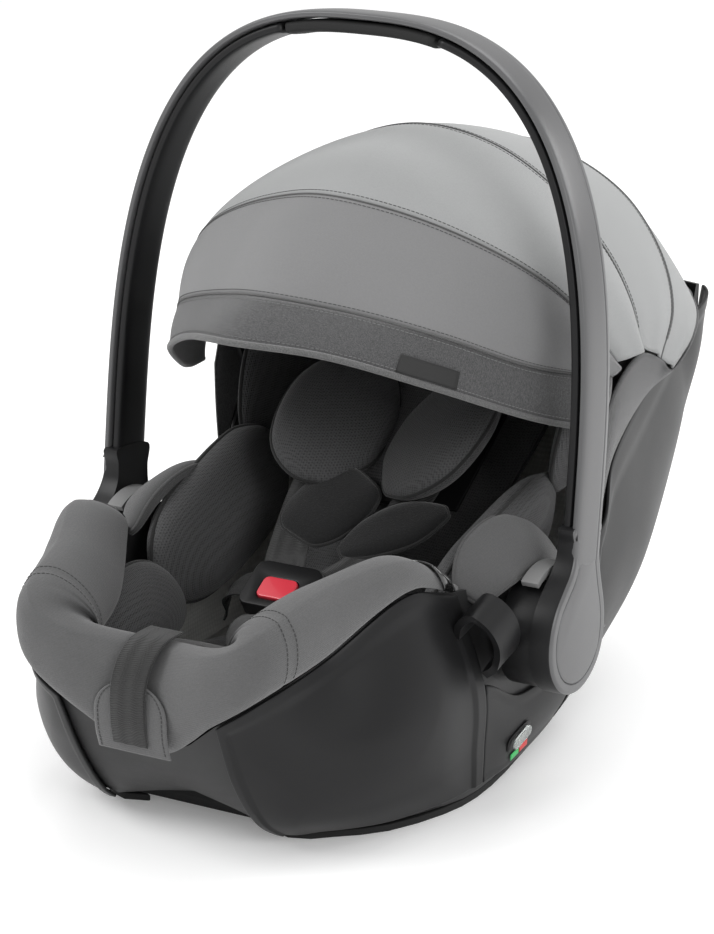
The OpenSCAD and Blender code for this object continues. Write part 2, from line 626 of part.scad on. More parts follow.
module buckle_body() {
  color([0.08, 0.08, 0.08]) in_buckle() difference() {
    rounded_slab(buckle_w, buckle_l, buckle_t, 9);
    translate([0, -4, buckle_t - 8]) rounded_slab(button_w + 2 * button_gap, button_l + 2 * button_gap, 12, 5.5);
  }
}
module buckle_button() {
  color([0.85, 0.2, 0.22]) in_buckle() translate([0, -4, buckle_t - 8 + buckle_travel - 0.6 + 0.9])
    rounded_slab(button_w, button_l, 8 - buckle_travel + 1.5, 5);
}

// Handle
module handle_bow() {
  color([0.42, 0.42, 0.43]) {
    handle_frame() loft(bar(bow_line, handle_t / 2 - skin_t, handle_t / 2, handle_d, 0.6));
    both() handle_frame() rotate([0, 90, 0]) difference() {
      translate([0, 0, hub_in]) union() {
        cylinder(r = hub_r, h = hub_disc_t - 3);
        translate([-neck_h, -handle_d / 2 + handle_shift, hub_disc_t - 1 - handle_t]) cube([neck_h, handle_d, handle_t - 2]);
      }
      translate([0, 0, hub_in - 1]) cylinder(r = pin_r + pin_clear, h = 40);
    }
  }
}
function side_of(line, s) = [for (p = line) if (p[0] * s > grip_limit + 1) p];
grip_line = [for (k = [0:8]) let (x = grip_limit * (1 - k / 4), w = handle_half - handle_t / 2)
  [x, straight_h + (handle_h - handle_t / 2 - straight_h) * pow(1 - pow(abs(x) / w, bow_power), 1 / bow_power)]];
module handle_liner() {
  color([0.05, 0.05, 0.05]) handle_frame() for (s = [-1, 1])
    loft(bar(side_of(bow_line, s), -handle_t / 2, handle_t / 2 - skin_t - liner_gap, handle_d - 6, 0.6));
}
module handle_grip() {
  color([0.04, 0.04, 0.04]) handle_frame()
    loft(bar(grip_line, -handle_t / 2 - 2, handle_t / 2 - skin_t - grip_gap, handle_d - 2, 0.6));
}
module hub_caps() {
  color([0.45, 0.45, 0.46]) both() handle_frame() rotate([0, 90, 0]) translate([0, 0, hub_out - 3 + 0.1])
    union() {
      cylinder(r = hub_r - 7, h = 3);
      translate([-neck_h + 1, -10 + handle_shift, 0]) cube([neck_h - 2, 20, 3]);
    }
}

// Canopy
module canopy_rear_cloth() {
  color([0.6, 0.6, 0.6]) cloth(4, 5, cloth_gap, 1, 3);
}
module canopy_crown_cloth() {
  color([0.62, 0.62, 0.62]) cloth(3, 4, cloth_gap, 1 - cloth_gap, 4);
}
module canopy_top_cloth() {
  color([0.62, 0.62, 0.62]) cloth(2, 3, cloth_gap, 1 - cloth_gap, 10);
}
module canopy_front_cloth() {
  color([0.45, 0.45, 0.45]) cloth(1, 2, cloth_gap, 1 - cloth_gap, 6);
}
module visor_band() {
  color([0.3, 0.3, 0.3]) cloth(0, 1, 0, 1 - cloth_gap, 3);
}
function seam_angle(s) = atan2(seam_point(s, 0)[2] - canopy_pivot[2], canopy_pivot[1] - seam_point(s, 0)[1]);
function seam_reach(s, drop) = norm(seam_point(s, 0) - canopy_pivot) - cloth_t - drop;
module canopy_bow_front() {
  color([0.1, 0.1, 0.1]) bow(seam_angle(1), seam_reach(1, bow_drop + 9), canopy_half - 9);
}
module canopy_bow_middle() {
  color([0.1, 0.1, 0.1]) bow(seam_angle(2), seam_reach(2, bow_drop), canopy_half - 12.4);
}
module canopy_bow_back() {
  color([0.1, 0.1, 0.1]) bow(seam_angle(3), seam_reach(3, bow_drop), canopy_half - 15.8);
}
screw_r = 3.5;
module at_screws() {
  for (p = [[30, 150, 22], [84, 236, 78], [60, 326, 176]])
    both() translate(at(p)) rotate([-45, 0, 0]) children();
}
module cover_screws() {
  color([0.7, 0.7, 0.7]) at_screws() cylinder(r = screw_r, h = 3);
}

base_shell();
wing_cover_right();
wing_cover_left();
side_cover_right();
side_cover_left();
rear_cover_right();
rear_cover_left();
back_panel();
runner_right();
runner_left();
latch_bars();
level_window();
energy_liner();
hub_drum_right();
hub_drum_left();
pivot_pins();
belt_hook_right();
belt_hook_left();
rim_trim_right();
rim_trim_left();
adapter_pads();
foot_cushion();
adjuster_patch();
adjuster_strap();
adjuster_button();
seat_cushion();
leg_roll();
thigh_wing_right();
thigh_wing_left();
bolster_right();
bolster_left();
side_pad_right();
side_pad_left();
backrest_pad();
head_wall_right();
head_wall_left();
headrest_shell();
headrest_pad();
harness_webbing();
canopy_studs();
chest_pad_right();
chest_pad_left();
crotch_pad();
buckle_body();
buckle_button();
handle_bow();
handle_liner();
handle_grip();
hub_caps();
release_button_right();
release_button_left();
canopy_rear_cloth();
canopy_crown_cloth();
canopy_top_cloth();
canopy_front_cloth();
canopy_bow_back();
canopy_bow_middle();
canopy_bow_front();
visor_band();
cover_screws();
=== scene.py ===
"""Infant carrier seat: shell, padding, harness, carry handle and folding canopy."""
import math

import bmesh
import bpy
from bpy.props import FloatProperty, FloatVectorProperty, PointerProperty
from mathutils import Matrix, Vector, noise


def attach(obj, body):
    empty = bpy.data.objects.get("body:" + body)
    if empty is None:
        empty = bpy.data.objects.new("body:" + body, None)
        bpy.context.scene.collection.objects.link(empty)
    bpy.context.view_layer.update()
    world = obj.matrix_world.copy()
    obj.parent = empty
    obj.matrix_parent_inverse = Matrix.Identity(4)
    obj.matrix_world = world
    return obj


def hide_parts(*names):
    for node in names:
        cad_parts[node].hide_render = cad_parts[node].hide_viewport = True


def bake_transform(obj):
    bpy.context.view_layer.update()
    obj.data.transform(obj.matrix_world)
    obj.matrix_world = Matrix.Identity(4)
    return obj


bl_info = {
    "name": "Infant Carrier Seat",
    "version": (1, 0, 0),
    "blender": (4, 5, 0),
    "location": "View3D > Sidebar > Carrier",
    "description": "Builds the padded shell, harness, carry handle and canopy of an infant carrier seat",
    "category": "Object",
}

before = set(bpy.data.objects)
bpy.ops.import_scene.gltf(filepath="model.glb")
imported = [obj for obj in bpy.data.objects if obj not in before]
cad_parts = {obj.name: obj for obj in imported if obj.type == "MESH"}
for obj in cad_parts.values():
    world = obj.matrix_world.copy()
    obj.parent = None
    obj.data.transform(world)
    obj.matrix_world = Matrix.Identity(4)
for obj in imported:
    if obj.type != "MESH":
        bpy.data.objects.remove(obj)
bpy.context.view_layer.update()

MM = 0.001
MIDDLE_Y = 44.45  # the tables below run from the handle side; this is the middle of the whole length
PIVOT = (-10.0, 125.0)  # y and z of the handle's hinge line in the tables
LEAN = math.radians(6.6)
CANOPY_HINGE = (110.0, 290.0)


# ---------------------------------------------------------------- curves and surfaces
def place(x, y, z):
    """Table millimetres to metres in the frame."""
    return Vector((x * MM, (y - MIDDLE_Y) * MM, z * MM))


def flow(a, b, c, d, t):
    return 0.5 * (2 * b + (c - a) * t + (2 * a - 5 * b + 4 * c - d) * t * t + (3 * b - a - 3 * c + d) * t ** 3)


def flip(p):
    return Vector((-p.x, p.y, p.z))


def along(points, t, closed=False, mirrored=False):
    """The point at share t of a smooth curve through points."""
    n = len(points) if closed else len(points) - 1
    s = min(max(t, 0.0), 1.0) * n
    i = min(int(s), n - 1)

    def at(k):
        if closed:
            return points[k % n]
        if k < 0:
            return flip(points[1]) if mirrored else 2 * points[0] - points[1]
        if k > n:
            return flip(points[n - 1]) if mirrored else 2 * points[n] - points[n - 1]
        return points[k]

    return flow(at(i - 1), at(i), at(i + 1), at(i + 2), s - i)


def ease(a, b, x):
    t = min(max((x - a) / (b - a), 0.0), 1.0)
    return t * t * (3 - 2 * t)


def wander(p, scale, seed=0.0):
    """Smooth value from -1 to 1 that drifts through space."""
    return noise.noise(Vector((p.x * scale + seed, p.y * scale - seed, p.z * scale + 0.37 * seed)))


# The outer surface of the carrier, right half, foot end to head end, floor edge to rim
COLUMNS = [[Vector(p) for p in c] for c in (
    ((0, -185, 14), (0, -214, 24), (0, -240, 42), (0, -264, 72)),
    ((72, -200, 0), (66, -232, 22), (65, -262, 62), (67, -287, 114)),
    ((103, -182, 0), (108, -222, 30), (112, -246, 75), (100, -275, 137)),
    ((134, -151, 0), (143, -180, 35), (148, -200, 90), (115, -215, 152)),
    ((155, -102, 0), (163, -125, 40), (166, -135, 95), (145, -150, 187)),
    ((161, -60, 0), (164, -62, 40), (166, -66, 95), (154, -88, 172)),
    ((156, -5, 0), (165, -5, 34), (166, -2, 68), (162, 0, 165)),
    ((142, 75, 4), (162, 82, 40), (171, 86, 85), (177, 100, 172)),
    ((130, 150, 22), (152, 165, 58), (170, 160, 125), (175, 125, 222)),
    ((118, 225, 70), (145, 243, 92), (162, 235, 155), (166, 190, 253)),
    ((105, 290, 138), (128, 308, 156), (146, 322, 210), (150, 290, 283)),
    ((78, 340, 196), (100, 362, 225), (122, 380, 262), (135, 374, 306)),
    ((0, 352, 214), (0, 372, 236), (0, 386, 266), (0, 390, 306)))]
RIM = 3.0
WING_AT, SIDE_AT, HEAD_AT = 5.0, 7.0, 11.0


def carrier(u, v):
    """Column u from 0 to 12 and row v from 0 to 3, in table millimetres; below 0 is the left half."""
    if u < 0:
        return flip(carrier(-u, v))
    i = min(int(u), 11)

    def col(k):
        if k < 0:
            return flip(along(COLUMNS[-k], v / RIM))
        if k > 12:
            return flip(along(COLUMNS[24 - k], v / RIM))
        return along(COLUMNS[k], v / RIM)

    return flow(col(i - 1), col(i), col(i + 1), col(i + 2), u - i)


def outward(u, v):
    du = carrier(u + 0.05, v) - carrier(u - 0.05, v)
    dv = carrier(u, min(v + 0.05, RIM)) - carrier(u, max(v - 0.05, 0.0))
    return du.cross(dv).normalized()


# ---------------------------------------------------------------- mesh helpers
def skin(fn, nu, nv, wrap=False, caps=False, turned=False, material=0, uv=(1.0, 1.0)):
    """A bmesh grid laid over fn(u, v); wrap closes it into a tube, caps fills its ends."""
    bm = bmesh.new()
    bmesh.ops.create_grid(bm, x_segments=nu, y_segments=nv, size=1.0)
    layer = bm.loops.layers.uv.new("UVMap")
    for f in bm.faces:
        f.material_index = material
        f.smooth = True
        for l in f.loops:
            l[layer].uv = ((l.vert.co.x + 1) / 2 * uv[0], (l.vert.co.y + 1) / 2 * uv[1])
    for v in bm.verts:
        v.co = fn(min(max((v.co.x + 1) / 2, 0.0), 1.0), min(max((v.co.y + 1) / 2, 0.0), 1.0))
    if wrap:
        bmesh.ops.remove_doubles(bm, verts=[v for v in bm.verts if v.is_boundary], dist=5e-6)
        bmesh.ops.dissolve_degenerate(bm, edges=bm.edges[:], dist=1e-7)
    if caps:
        made = bmesh.ops.holes_fill(bm, edges=[e for e in bm.edges if e.is_boundary], sides=0)
        for f in made["faces"]:
            f.material_index = material
    if wrap:
        bmesh.ops.recalc_face_normals(bm, faces=bm.faces[:])
    elif turned:
        bmesh.ops.reverse_faces(bm, faces=bm.faces[:])
    return bm


def join(*parts):
    """One bmesh from several."""
    whole = parts[0]
    for bm in parts[1:]:
        mesh = bpy.data.meshes.new("part")
        bm.to_mesh(mesh)
        bm.free()
        whole.from_mesh(mesh)
        bpy.data.meshes.remove(mesh)
    return whole


def thickened(bm, depth):
    """Gives open cloth a wall, inwards from its faces."""
    bm.normal_update()
    uv = bm.loops.layers.uv.active
    inner = {v: bm.verts.new(v.co - v.normal * depth) for v in bm.verts[:]}
    border = [e.link_loops[0] for e in bm.edges if e.is_boundary]

    def face(verts, coords, like):
        made = bm.faces.new(verts)
        made.material_index, made.smooth = like.material_index, True
        for loop, value in zip(made.loops, coords):
            loop[uv].uv = value

    for f in bm.faces[:]:
        face([inner[v] for v in reversed(f.verts)], [loop[uv].uv.copy() for loop in reversed(f.loops[:])], f)
    for loop in border:
        a, b = loop, loop.link_loop_next
        face((b.vert, a.vert, inner[a.vert], inner[b.vert]), [q[uv].uv.copy() for q in (b, a, a, b)], loop.face)
    return bm


def mirrored(bm):
    """A copy on the other side of the middle plane, with its faces turned to match."""
    other = bm.copy()
    bmesh.ops.scale(other, vec=(-1, 1, 1), verts=other.verts[:])
    bmesh.ops.reverse_faces(other, faces=other.faces[:])
    return other


def tube(path, radius, sides=8, closed=False, material=0):
    """A round cord along a list of points."""
    n = len(path)

    def tangent(i):
        if closed:
            return (path[(i + 1) % n] - path[(i - 1) % n]).normalized()
        return (path[min(i + 1, n - 1)] - path[max(i - 1, 0)]).normalized()

    frames, side = [], None
    for i in range(n):
        t = tangent(i)
        if side is None:
            side = t.orthogonal().normalized()
        side = (side - t * side.dot(t)).normalized()
        frames.append((path[i], side, t.cross(side)))
    if closed:
        frames.append(frames[0])
        turn = side.angle(frames[0][1]) if side.dot(frames[0][1]) < 0.999 else 0.0
        if turn:
            sign = 1 if side.cross(frames[0][1]).dot(tangent(0)) > 0 else -1
            fixed = []
            for i, (p, a, b) in enumerate(frames[:-1]):
                q = sign * turn * i / n
                fixed.append((p, a * math.cos(q) + b * math.sin(q), b * math.cos(q) - a * math.sin(q)))
            frames = fixed + [fixed[0]]

    def fn(u, v):
        p, a, b = frames[min(round(v * (len(frames) - 1)), len(frames) - 1)]
        q = 2 * math.pi * u
        return p + (a * math.cos(q) + b * math.sin(q)) * radius

    return skin(fn, sides, len(frames) - 1, wrap=True, caps=not closed, material=material)


def even(path, pitch):
    """Points at an even pitch along a list of points."""
    out, carry = [path[0]], 0.0
    for a, b in zip(path, path[1:]):
        length = (b - a).length
        d = pitch - carry
        while d <= length and length > 0:
            out.append(a.lerp(b, d / length))
            d += pitch
        carry = length - (d - pitch)
    return out


def stitches(path, normal, pitch=0.0036, length=0.0024, width=0.0005, material=0):
    """A row of thread stitches along a path; normal(i, point) gives the cloth's facing."""
    bm = bmesh.new()
    points = even(path, pitch)
    for i, (a, b) in enumerate(zip(points, points[1:])):
        t = (b - a).normalized()
        up = normal(i, a)
        up = (up - t * up.dot(t)).normalized()
        side = up.cross(t)
        made = bmesh.ops.create_cube(bm, size=1.0)
        spin = Matrix((t, side, up)).transposed().to_4x4()
        bmesh.ops.scale(bm, vec=(length, width, width), verts=made["verts"])
        bmesh.ops.transform(bm, matrix=Matrix.Translation((a + b) / 2 + up * 0.0001) @ spin, verts=made["verts"])
    for f in bm.faces:
        f.material_index = material
    return bm


def finished(bm, name, body, materials, slot, replaces=(), thickness=0.0, bevel=0.0, rides=True):
    """The bmesh as a named object that rides on a body."""
    mesh = bpy.data.meshes.new(name)
    bm.to_mesh(mesh)
    bm.free()
    obj = bpy.data.objects.new(name, mesh)
    bpy.context.scene.collection.objects.link(obj)
    for m in materials:
        mesh.materials.append(m)
    if thickness:
        wall = obj.modifiers.new("Wall", "SOLIDIFY")
        wall.thickness, wall.offset, wall.use_even_offset = thickness, -1.0, True
    if bevel:
        edge = obj.modifiers.new("Edge", "BEVEL")
        edge.width, edge.segments, edge.limit_method, edge.angle_limit = bevel, 2, "ANGLE", math.radians(40)
        edge.use_clamp_overlap = True
    if rides:
        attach(obj, body)
    if replaces:
        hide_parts(*replaces)
    return obj


def softened(node, name, body, material, slot, bevel, segments=3, angle=28.0):
    """A moulded copy of a hard CAD piece: merged, its flats cleaned and its sharp edges rounded."""
    bm = bmesh.new()
    bm.from_mesh(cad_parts[node].data)
    bmesh.ops.remove_doubles(bm, verts=bm.verts[:], dist=2e-6)
    bmesh.ops.dissolve_limit(bm, angle_limit=math.radians(1.0), verts=bm.verts[:], edges=bm.edges[:])
    sharp = [e for e in bm.edges if e.is_manifold and e.calc_face_angle(0.0) > math.radians(angle)]
    if bevel and sharp:
        bmesh.ops.bevel(bm, geom=sharp, offset=bevel, offset_type="OFFSET", affect="EDGES", segments=segments,
                        profile=0.5, material=-1, clamp_overlap=True)
    for f in bm.faces:
        f.smooth = True
        f.material_index = 0
    obj = finished(bm, name, body, [material], slot, replaces=[node])
    keep_edges(obj, 32)
    return obj


def keep_edges(obj, angle):
    obj.data.set_sharp_from_angle(angle=math.radians(angle))


def repaint(node, material):
    """A better finish for a CAD piece whose shape is right."""
    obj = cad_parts[node]
    if obj.material_slots:
        obj.material_slots[0].material = material
    else:
        obj.data.materials.append(material)


# ---------------------------------------------------------------- finishes
class Value:
    """A shader number; Python arithmetic on it adds Math nodes."""

    def __init__(self, tree, out):
        self.tree, self.out = tree, out

    def _math(self, kind, *others):
        node = self.tree.nodes.new("ShaderNodeMath")
        node.operation = kind
        for socket, value in zip(node.inputs, others):
            if isinstance(value, Value):
                self.tree.links.new(value.out, socket)
            else:
                socket.default_value = value
        return Value(self.tree, node.outputs[0])

    def __add__(self, other):
        return self._math("ADD", self, other)

    def __radd__(self, other):
        return self._math("ADD", other, self)

    def __sub__(self, other):
        return self._math("SUBTRACT", self, other)

    def __rsub__(self, other):
        return self._math("SUBTRACT", other, self)

    def __mul__(self, other):
        return self._math("MULTIPLY", self, other)

    def __rmul__(self, other):
        return self._math("MULTIPLY", other, self)

    def __truediv__(self, other):
        return self._math("DIVIDE", self, other)

    def __pow__(self, other):
        return self._math("POWER", self, other)

    def wave(self):
        return self._math("SINE", self)

    def size(self):
        return self._math("ABSOLUTE", self)

    def capped(self):
        node = self._math("MULTIPLY", self, 1.0)
        node.out.node.use_clamp = True
        return node


class Finish:
    """A material under construction."""

    def __init__(self, name, roughness=0.6, metallic=0.0, coat=0.0, sheen=0.0, specular=0.5):
        self.material = bpy.data.materials.new(name)
        self.material.use_nodes = True
        self.tree = self.material.node_tree
        self.shader = self.tree.nodes["Principled BSDF"]
        for socket, value in (("Roughness", roughness), ("Metallic", metallic), ("Coat Weight", coat),
                              ("Sheen Weight", sheen), ("Specular IOR Level", specular)):
            self.shader.inputs[socket].default_value = value
        if sheen:
            self.shader.inputs["Sheen Roughness"].default_value = 0.45
        self.coords = self.node("ShaderNodeTexCoord")

    def node(self, kind, settings=None, sockets=None):
        """A node with its settings and its sockets' values or links."""
        made = self.tree.nodes.new(kind)
        for key, value in (settings or {}).items():
            if key == "stops":
                ramp = made.color_ramp
                while len(ramp.elements) > 1:
                    ramp.elements.remove(ramp.elements[-1])
                for k, (at, shade) in enumerate(value):
                    stop = ramp.elements[0] if k == 0 else ramp.elements.new(at)
                    stop.position, stop.color = at, (*shade, 1.0)
            else:
                setattr(made, key, value)
        for key, value in (sockets or {}).items():
            socket = made.inputs[key]
            if isinstance(value, Value):
                self.tree.links.new(value.out, socket)
            elif isinstance(value, bpy.types.NodeSocket):
                self.tree.links.new(value, socket)
            else:
                socket.default_value = value
        return made

    def point(self, uv=False, scale=(1, 1, 1), turn=(0, 0, 0)):
        """Object or UV coordinates, stretched and turned."""
        mapping = self.node("ShaderNodeMapping", None, {"Vector": self.coords.outputs["UV" if uv else "Object"],
                                                        "Scale": scale, "Rotation": turn})
        return mapping.outputs["Vector"]

    def cloud(self, scale, detail=2.0, rough=0.5, at=None):
        made = self.node("ShaderNodeTexNoise", None, {"Vector": at or self.point(), "Scale": scale,
                                                      "Detail": detail, "Roughness": rough})
        return Value(self.tree, made.outputs["Fac"])

    def cells(self, scale, at=None, feature="F1"):
        made = self.node("ShaderNodeTexVoronoi", {"feature": feature}, {"Vector": at or self.point(), "Scale": scale,
                                                                        "Randomness": 0.15})
        return Value(self.tree, made.outputs["Distance"])

    def axis(self, name, at):
        split = self.node("ShaderNodeSeparateXYZ", None, {"Vector": at})
        return Value(self.tree, split.outputs[name])

    def blend(self, share, low, high):
        """A colour between two, by a value from 0 to 1."""
        mix = self.tree.nodes.new("ShaderNodeMix")
        mix.data_type = "RGBA"
        self.tree.links.new(share.out, mix.inputs[0])
        for socket, colour in ((mix.inputs[6], low), (mix.inputs[7], high)):
            if isinstance(colour, bpy.types.NodeSocket):
                self.tree.links.new(colour, socket)
            else:
                socket.default_value = (*colour, 1.0)
        return mix.outputs[2]

    def colour(self, source):
        if isinstance(source, bpy.types.NodeSocket):
            self.tree.links.new(source, self.shader.inputs["Base Color"])
        else:
            self.shader.inputs["Base Color"].default_value = (*source, 1.0)

    def roughness(self, value):
        self.tree.links.new(value.out, self.shader.inputs["Roughness"])

    def relief(self, height, distance, strength=1.0):
        bump = self.node("ShaderNodeBump", None, {"Height": height, "Distance": distance, "Strength": strength})
        self.tree.links.new(bump.outputs["Normal"], self.shader.inputs["Normal"])


def shade(colour, by):
    return tuple(min(c * by, 1.0) for c in colour)


def moulded(name, colour, rough, grain=900.0, depth=0.00006, coat=0.0, specular=0.5):
    """Moulded plastic: fine grain, faint flow marks and slightly uneven gloss."""
    f = Finish(name, rough, coat=coat, specular=specular)
    broad = f.cloud(14.0, 3.0)
    fine = f.cloud(grain, 2.0, 0.6)
    f.colour(f.blend(broad, shade(colour, 0.9), shade(colour, 1.12)))
    f.roughness((broad - 0.5) * 0.12 + (fine - 0.5) * 0.10 + rough)
    f.relief(fine, depth)
    return f.material


def jersey(name, colour, pitch=0.0011):
    """Knitted jersey: columns of small loops over soft mottling."""
    f = Finish(name, 0.92, sheen=0.25, specular=0.25)
    at = f.point()
    x, y, z = (f.axis(k, at) for k in "XYZ")
    rate = 2 * math.pi / pitch
    wales = ((x + y * 0.5) * rate).wave()
    rows = ((z + y * 0.7) * (rate * 0.8) + wales * 0.8).wave()
    mottle = f.cloud(650.0, 2.0, 0.7)
    broad = f.cloud(9.0, 2.0)
    tone = (mottle * 0.55 + (wales * rows) * 0.12 + broad * 0.35).capped()
    f.colour(f.blend(tone, shade(colour, 0.68), shade(colour, 1.3)))
    f.relief(wales * rows * 0.5 + mottle, 0.00022)
    return f.material


def spacer_mesh(name, colour, pitch=0.0019):
    """Three-dimensional mesh: a honeycomb of small dark openings."""
    f = Finish(name, 0.85, sheen=0.2, specular=0.3)
    holes = f.cells(1.0 / pitch)
    hole = (holes * 2.2 - 0.25).capped()
    fuzz = f.cloud(900.0, 2.0, 0.7)
    f.colour(f.blend((hole * 0.75 + fuzz * 0.3).capped(), shade(colour, 0.35), shade(colour, 1.55)))
    f.relief(hole * 0.8 + fuzz * 0.25, 0.0005)
    return f.material


def melange(name, colour, light=1.9):
    """Melange cloth: pale and dark fibres side by side in a plain weave."""
    f = Finish(name, 0.92, sheen=0.3, specular=0.25)
    along_x = f.cloud(420.0, 2.0, 0.65, f.point(scale=(1, 4, 4)))
    along_y = f.cloud(420.0, 2.0, 0.65, f.point(scale=(4, 4, 1)))
    tone = (along_x * along_y * 3.4 - 0.35).capped()
    f.colour(f.blend(tone, shade(colour, 0.55), shade(colour, light)))
    f.relief(along_x + along_y, 0.0003)
    return f.material


def woven(name, colour, pitch=0.0011, sheen=0.2, specular=0.3):
    """Plain woven canopy cloth that follows the panel's own length and width."""
    f = Finish(name, 0.86, sheen=sheen, specular=specular)
    at = f.point(uv=True)
    u, v = f.axis("X", at), f.axis("Y", at)
    rate = 2 * math.pi / pitch
    warp, weft = (u * rate).wave(), (v * rate).wave()
    thread = f.cloud(700.0, 2.0, 0.6)
    broad = f.cloud(6.0, 3.0)
    tone = (warp * weft * 0.10 + thread * 0.45 + broad * 0.45).capped()
    f.colour(f.blend(tone, shade(colour, 0.82), shade(colour, 1.16)))
    f.relief(warp * weft * 0.5 + thread * 0.6, 0.00015)
    return f.material


def webbing(name, colour, width=0.034):
    """Narrow woven webbing: ribs along the strap and a herringbone ground."""
    f = Finish(name, 0.62, sheen=0.15, specular=0.4)
    at = f.point(uv=True)
    u, v = f.axis("X", at), f.axis("Y", at)
    ribs = (u * (2 * math.pi * 9 / width)).wave()
    picks = (v * (2 * math.pi / 0.0016) + ribs * 1.4).wave()
    fuzz = f.cloud(900.0, 2.0, 0.6)
    tone = (picks * 0.22 + ribs * 0.14 + fuzz * 0.7).capped()
    f.colour(f.blend(tone, shade(colour, 0.45), shade(colour, 2.1)))
    f.relief(picks * 0.6 + ribs * 0.8 + fuzz * 0.3, 0.0003)
    return f.material


def metal(name, colour, rough):
    f = Finish(name, rough, metallic=1.0)
    lines = f.cloud(300.0, 2.0, 0.5, f.point(scale=(0.05, 1, 1)))
    f.colour(f.blend(lines, shade(colour, 0.8), shade(colour, 1.1)))
    f.roughness((lines - 0.5) * 0.25 + rough)
    f.relief(lines, 0.00003)
    return f.material


def bead_foam(name, colour):
    f = Finish(name, 0.95, specular=0.2)
    beads = f.cells(280.0)
    f.colour(f.blend(beads, shade(colour, 1.1), shade(colour, 0.75)))
    f.relief(1 - beads, 0.0004)
    return f.material


FINISHES = {}


def colour_prop(name, words, value):
    return FloatVectorProperty(name=name, description=words, subtype="COLOR", size=3, min=0, max=1, default=value)


class CarrierColours(bpy.types.PropertyGroup):
    """Colours of the carrier's plastics and cloths."""

    shell: colour_prop("Shell", "Main shell plastic", (0.016, 0.016, 0.0165))
    cover: colour_prop("Covers", "Side cover panels", (0.0105, 0.0105, 0.011))
    skin: colour_prop("Handle skin", "Outer skin of the handle and hubs", (0.082, 0.082, 0.084))
    button: colour_prop("Buttons", "Handle release buttons", (0.20, 0.20, 0.20))
    jersey: colour_prop("Jersey", "Foot cushion and side pads", (0.097, 0.097, 0.098))
    mesh: colour_prop("Mesh", "Seat insert, bolsters and headrest", (0.052, 0.052, 0.053))
    melange: colour_prop("Melange", "Chest pads", (0.008, 0.008, 0.0083))
    canopy: colour_prop("Canopy", "Light canopy panels", (0.31, 0.315, 0.315))
    canopy_front: colour_prop("Canopy front", "Darker front canopy panel", (0.19, 0.19, 0.192))
    piping: colour_prop("Piping", "Seam piping on the canopy", (0.10, 0.10, 0.10))
    red: colour_prop("Buckle button", "Release button of the buckle", (0.72, 0.045, 0.07))


def length_prop(name, words, value):
    return FloatProperty(name=name, description=words, unit="LENGTH", subtype="DISTANCE", min=0, default=value)


class CarrierSizes(bpy.types.PropertyGroup):
    """Sizes of the trims and soft parts."""

    piping_r: length_prop("Piping radius", "Radius of the seam piping", 0.0017)
    stitch_pitch: length_prop("Stitch pitch", "Distance from one stitch to the next", 0.0036)
    cloth_t: length_prop("Canopy cloth", "Thickness of the canopy cloth", 0.0022)
    cover_t: length_prop("Cover wall", "Wall of the cover panels", 0.0026)
    web_w: length_prop("Webbing width", "Width of the shoulder webbing", 0.034)
    web_t: length_prop("Webbing thickness", "Thickness of the webbing", 0.0018)
    handle_d: length_prop("Handle depth", "Depth of the handle section, foot to head", 0.042)
    grip_l: length_prop("Grip length", "Length of the rubber grip", 0.136)


def sizes():
    return bpy.context.scene.carrier_sizes


# ---------------------------------------------------------------- pads
def cushion(stations, face, corner=2.6, edge=0.62, around=40, rings=44, dips=(), drift=0.0012, seed=1.0,
            crown=0.0, material=0, side=1):
    """A stuffed pad along its stations (x, y, z, half width, half thickness); returns it and its seam line.
    dips are sewn channels across it: (share of its length, depth, width)."""
    mids = [place(*s[:3]) for s in stations]
    wide = [s[3] * MM for s in stations]
    thick = [s[4] * MM for s in stations]
    if side < 0:
        mids = [flip(p) for p in mids]
        face = (-face[0], face[1], face[2])
    face = Vector(face).normalized()

    def axes(s):
        t = (along(mids, min(s + 0.02, 1)) - along(mids, max(s - 0.02, 0))).normalized()
        u = face.cross(t).normalized()
        return t, u, t.cross(u)

    def fn(a, b):
        k = -math.cos(math.pi * b)
        s = (k + 1) / 2
        full = max(1 - abs(k) ** corner, 0.0) ** (1 / corner)
        _, u, w = axes(s)
        q = 2 * math.pi * a
        c, d = math.cos(q), math.sin(q)
        x = math.copysign(abs(c) ** edge, c)
        y = math.copysign(abs(d) ** 0.9, d)
        lift = 1 + crown * (1 - x * x)
        for at, depth, width in dips:
            if d > 0:
                lift -= depth * math.exp(-((s - at) / width) ** 2)
        p = along(mids, s) + u * x * along(wide, s) * full + w * y * along(thick, s) * full * lift
        return p + w * d * drift * full * wander(p, 22.0, seed)

    body = skin(fn, around, rings, wrap=True, material=material)
    steps = rings * 2
    seam = [fn(0.0, i / steps) for i in range(steps + 1)] + [fn(0.5, i / steps) for i in range(steps - 1, 0, -1)]
    return body, seam


def pad_piece(name, body, slot, material, trim, stations, face, node, side=1, fill=0.6, **how):
    """A pad with piping round its seam, standing for its CAD solid."""
    pad, seam = cushion(stations, face, side=side, **how)
    trimming = tube(seam, sizes().piping_r, 8, closed=True, material=1)
    obj = finished(join(pad, trimming), name, body, [material, trim], slot, replaces=[node])
    return obj


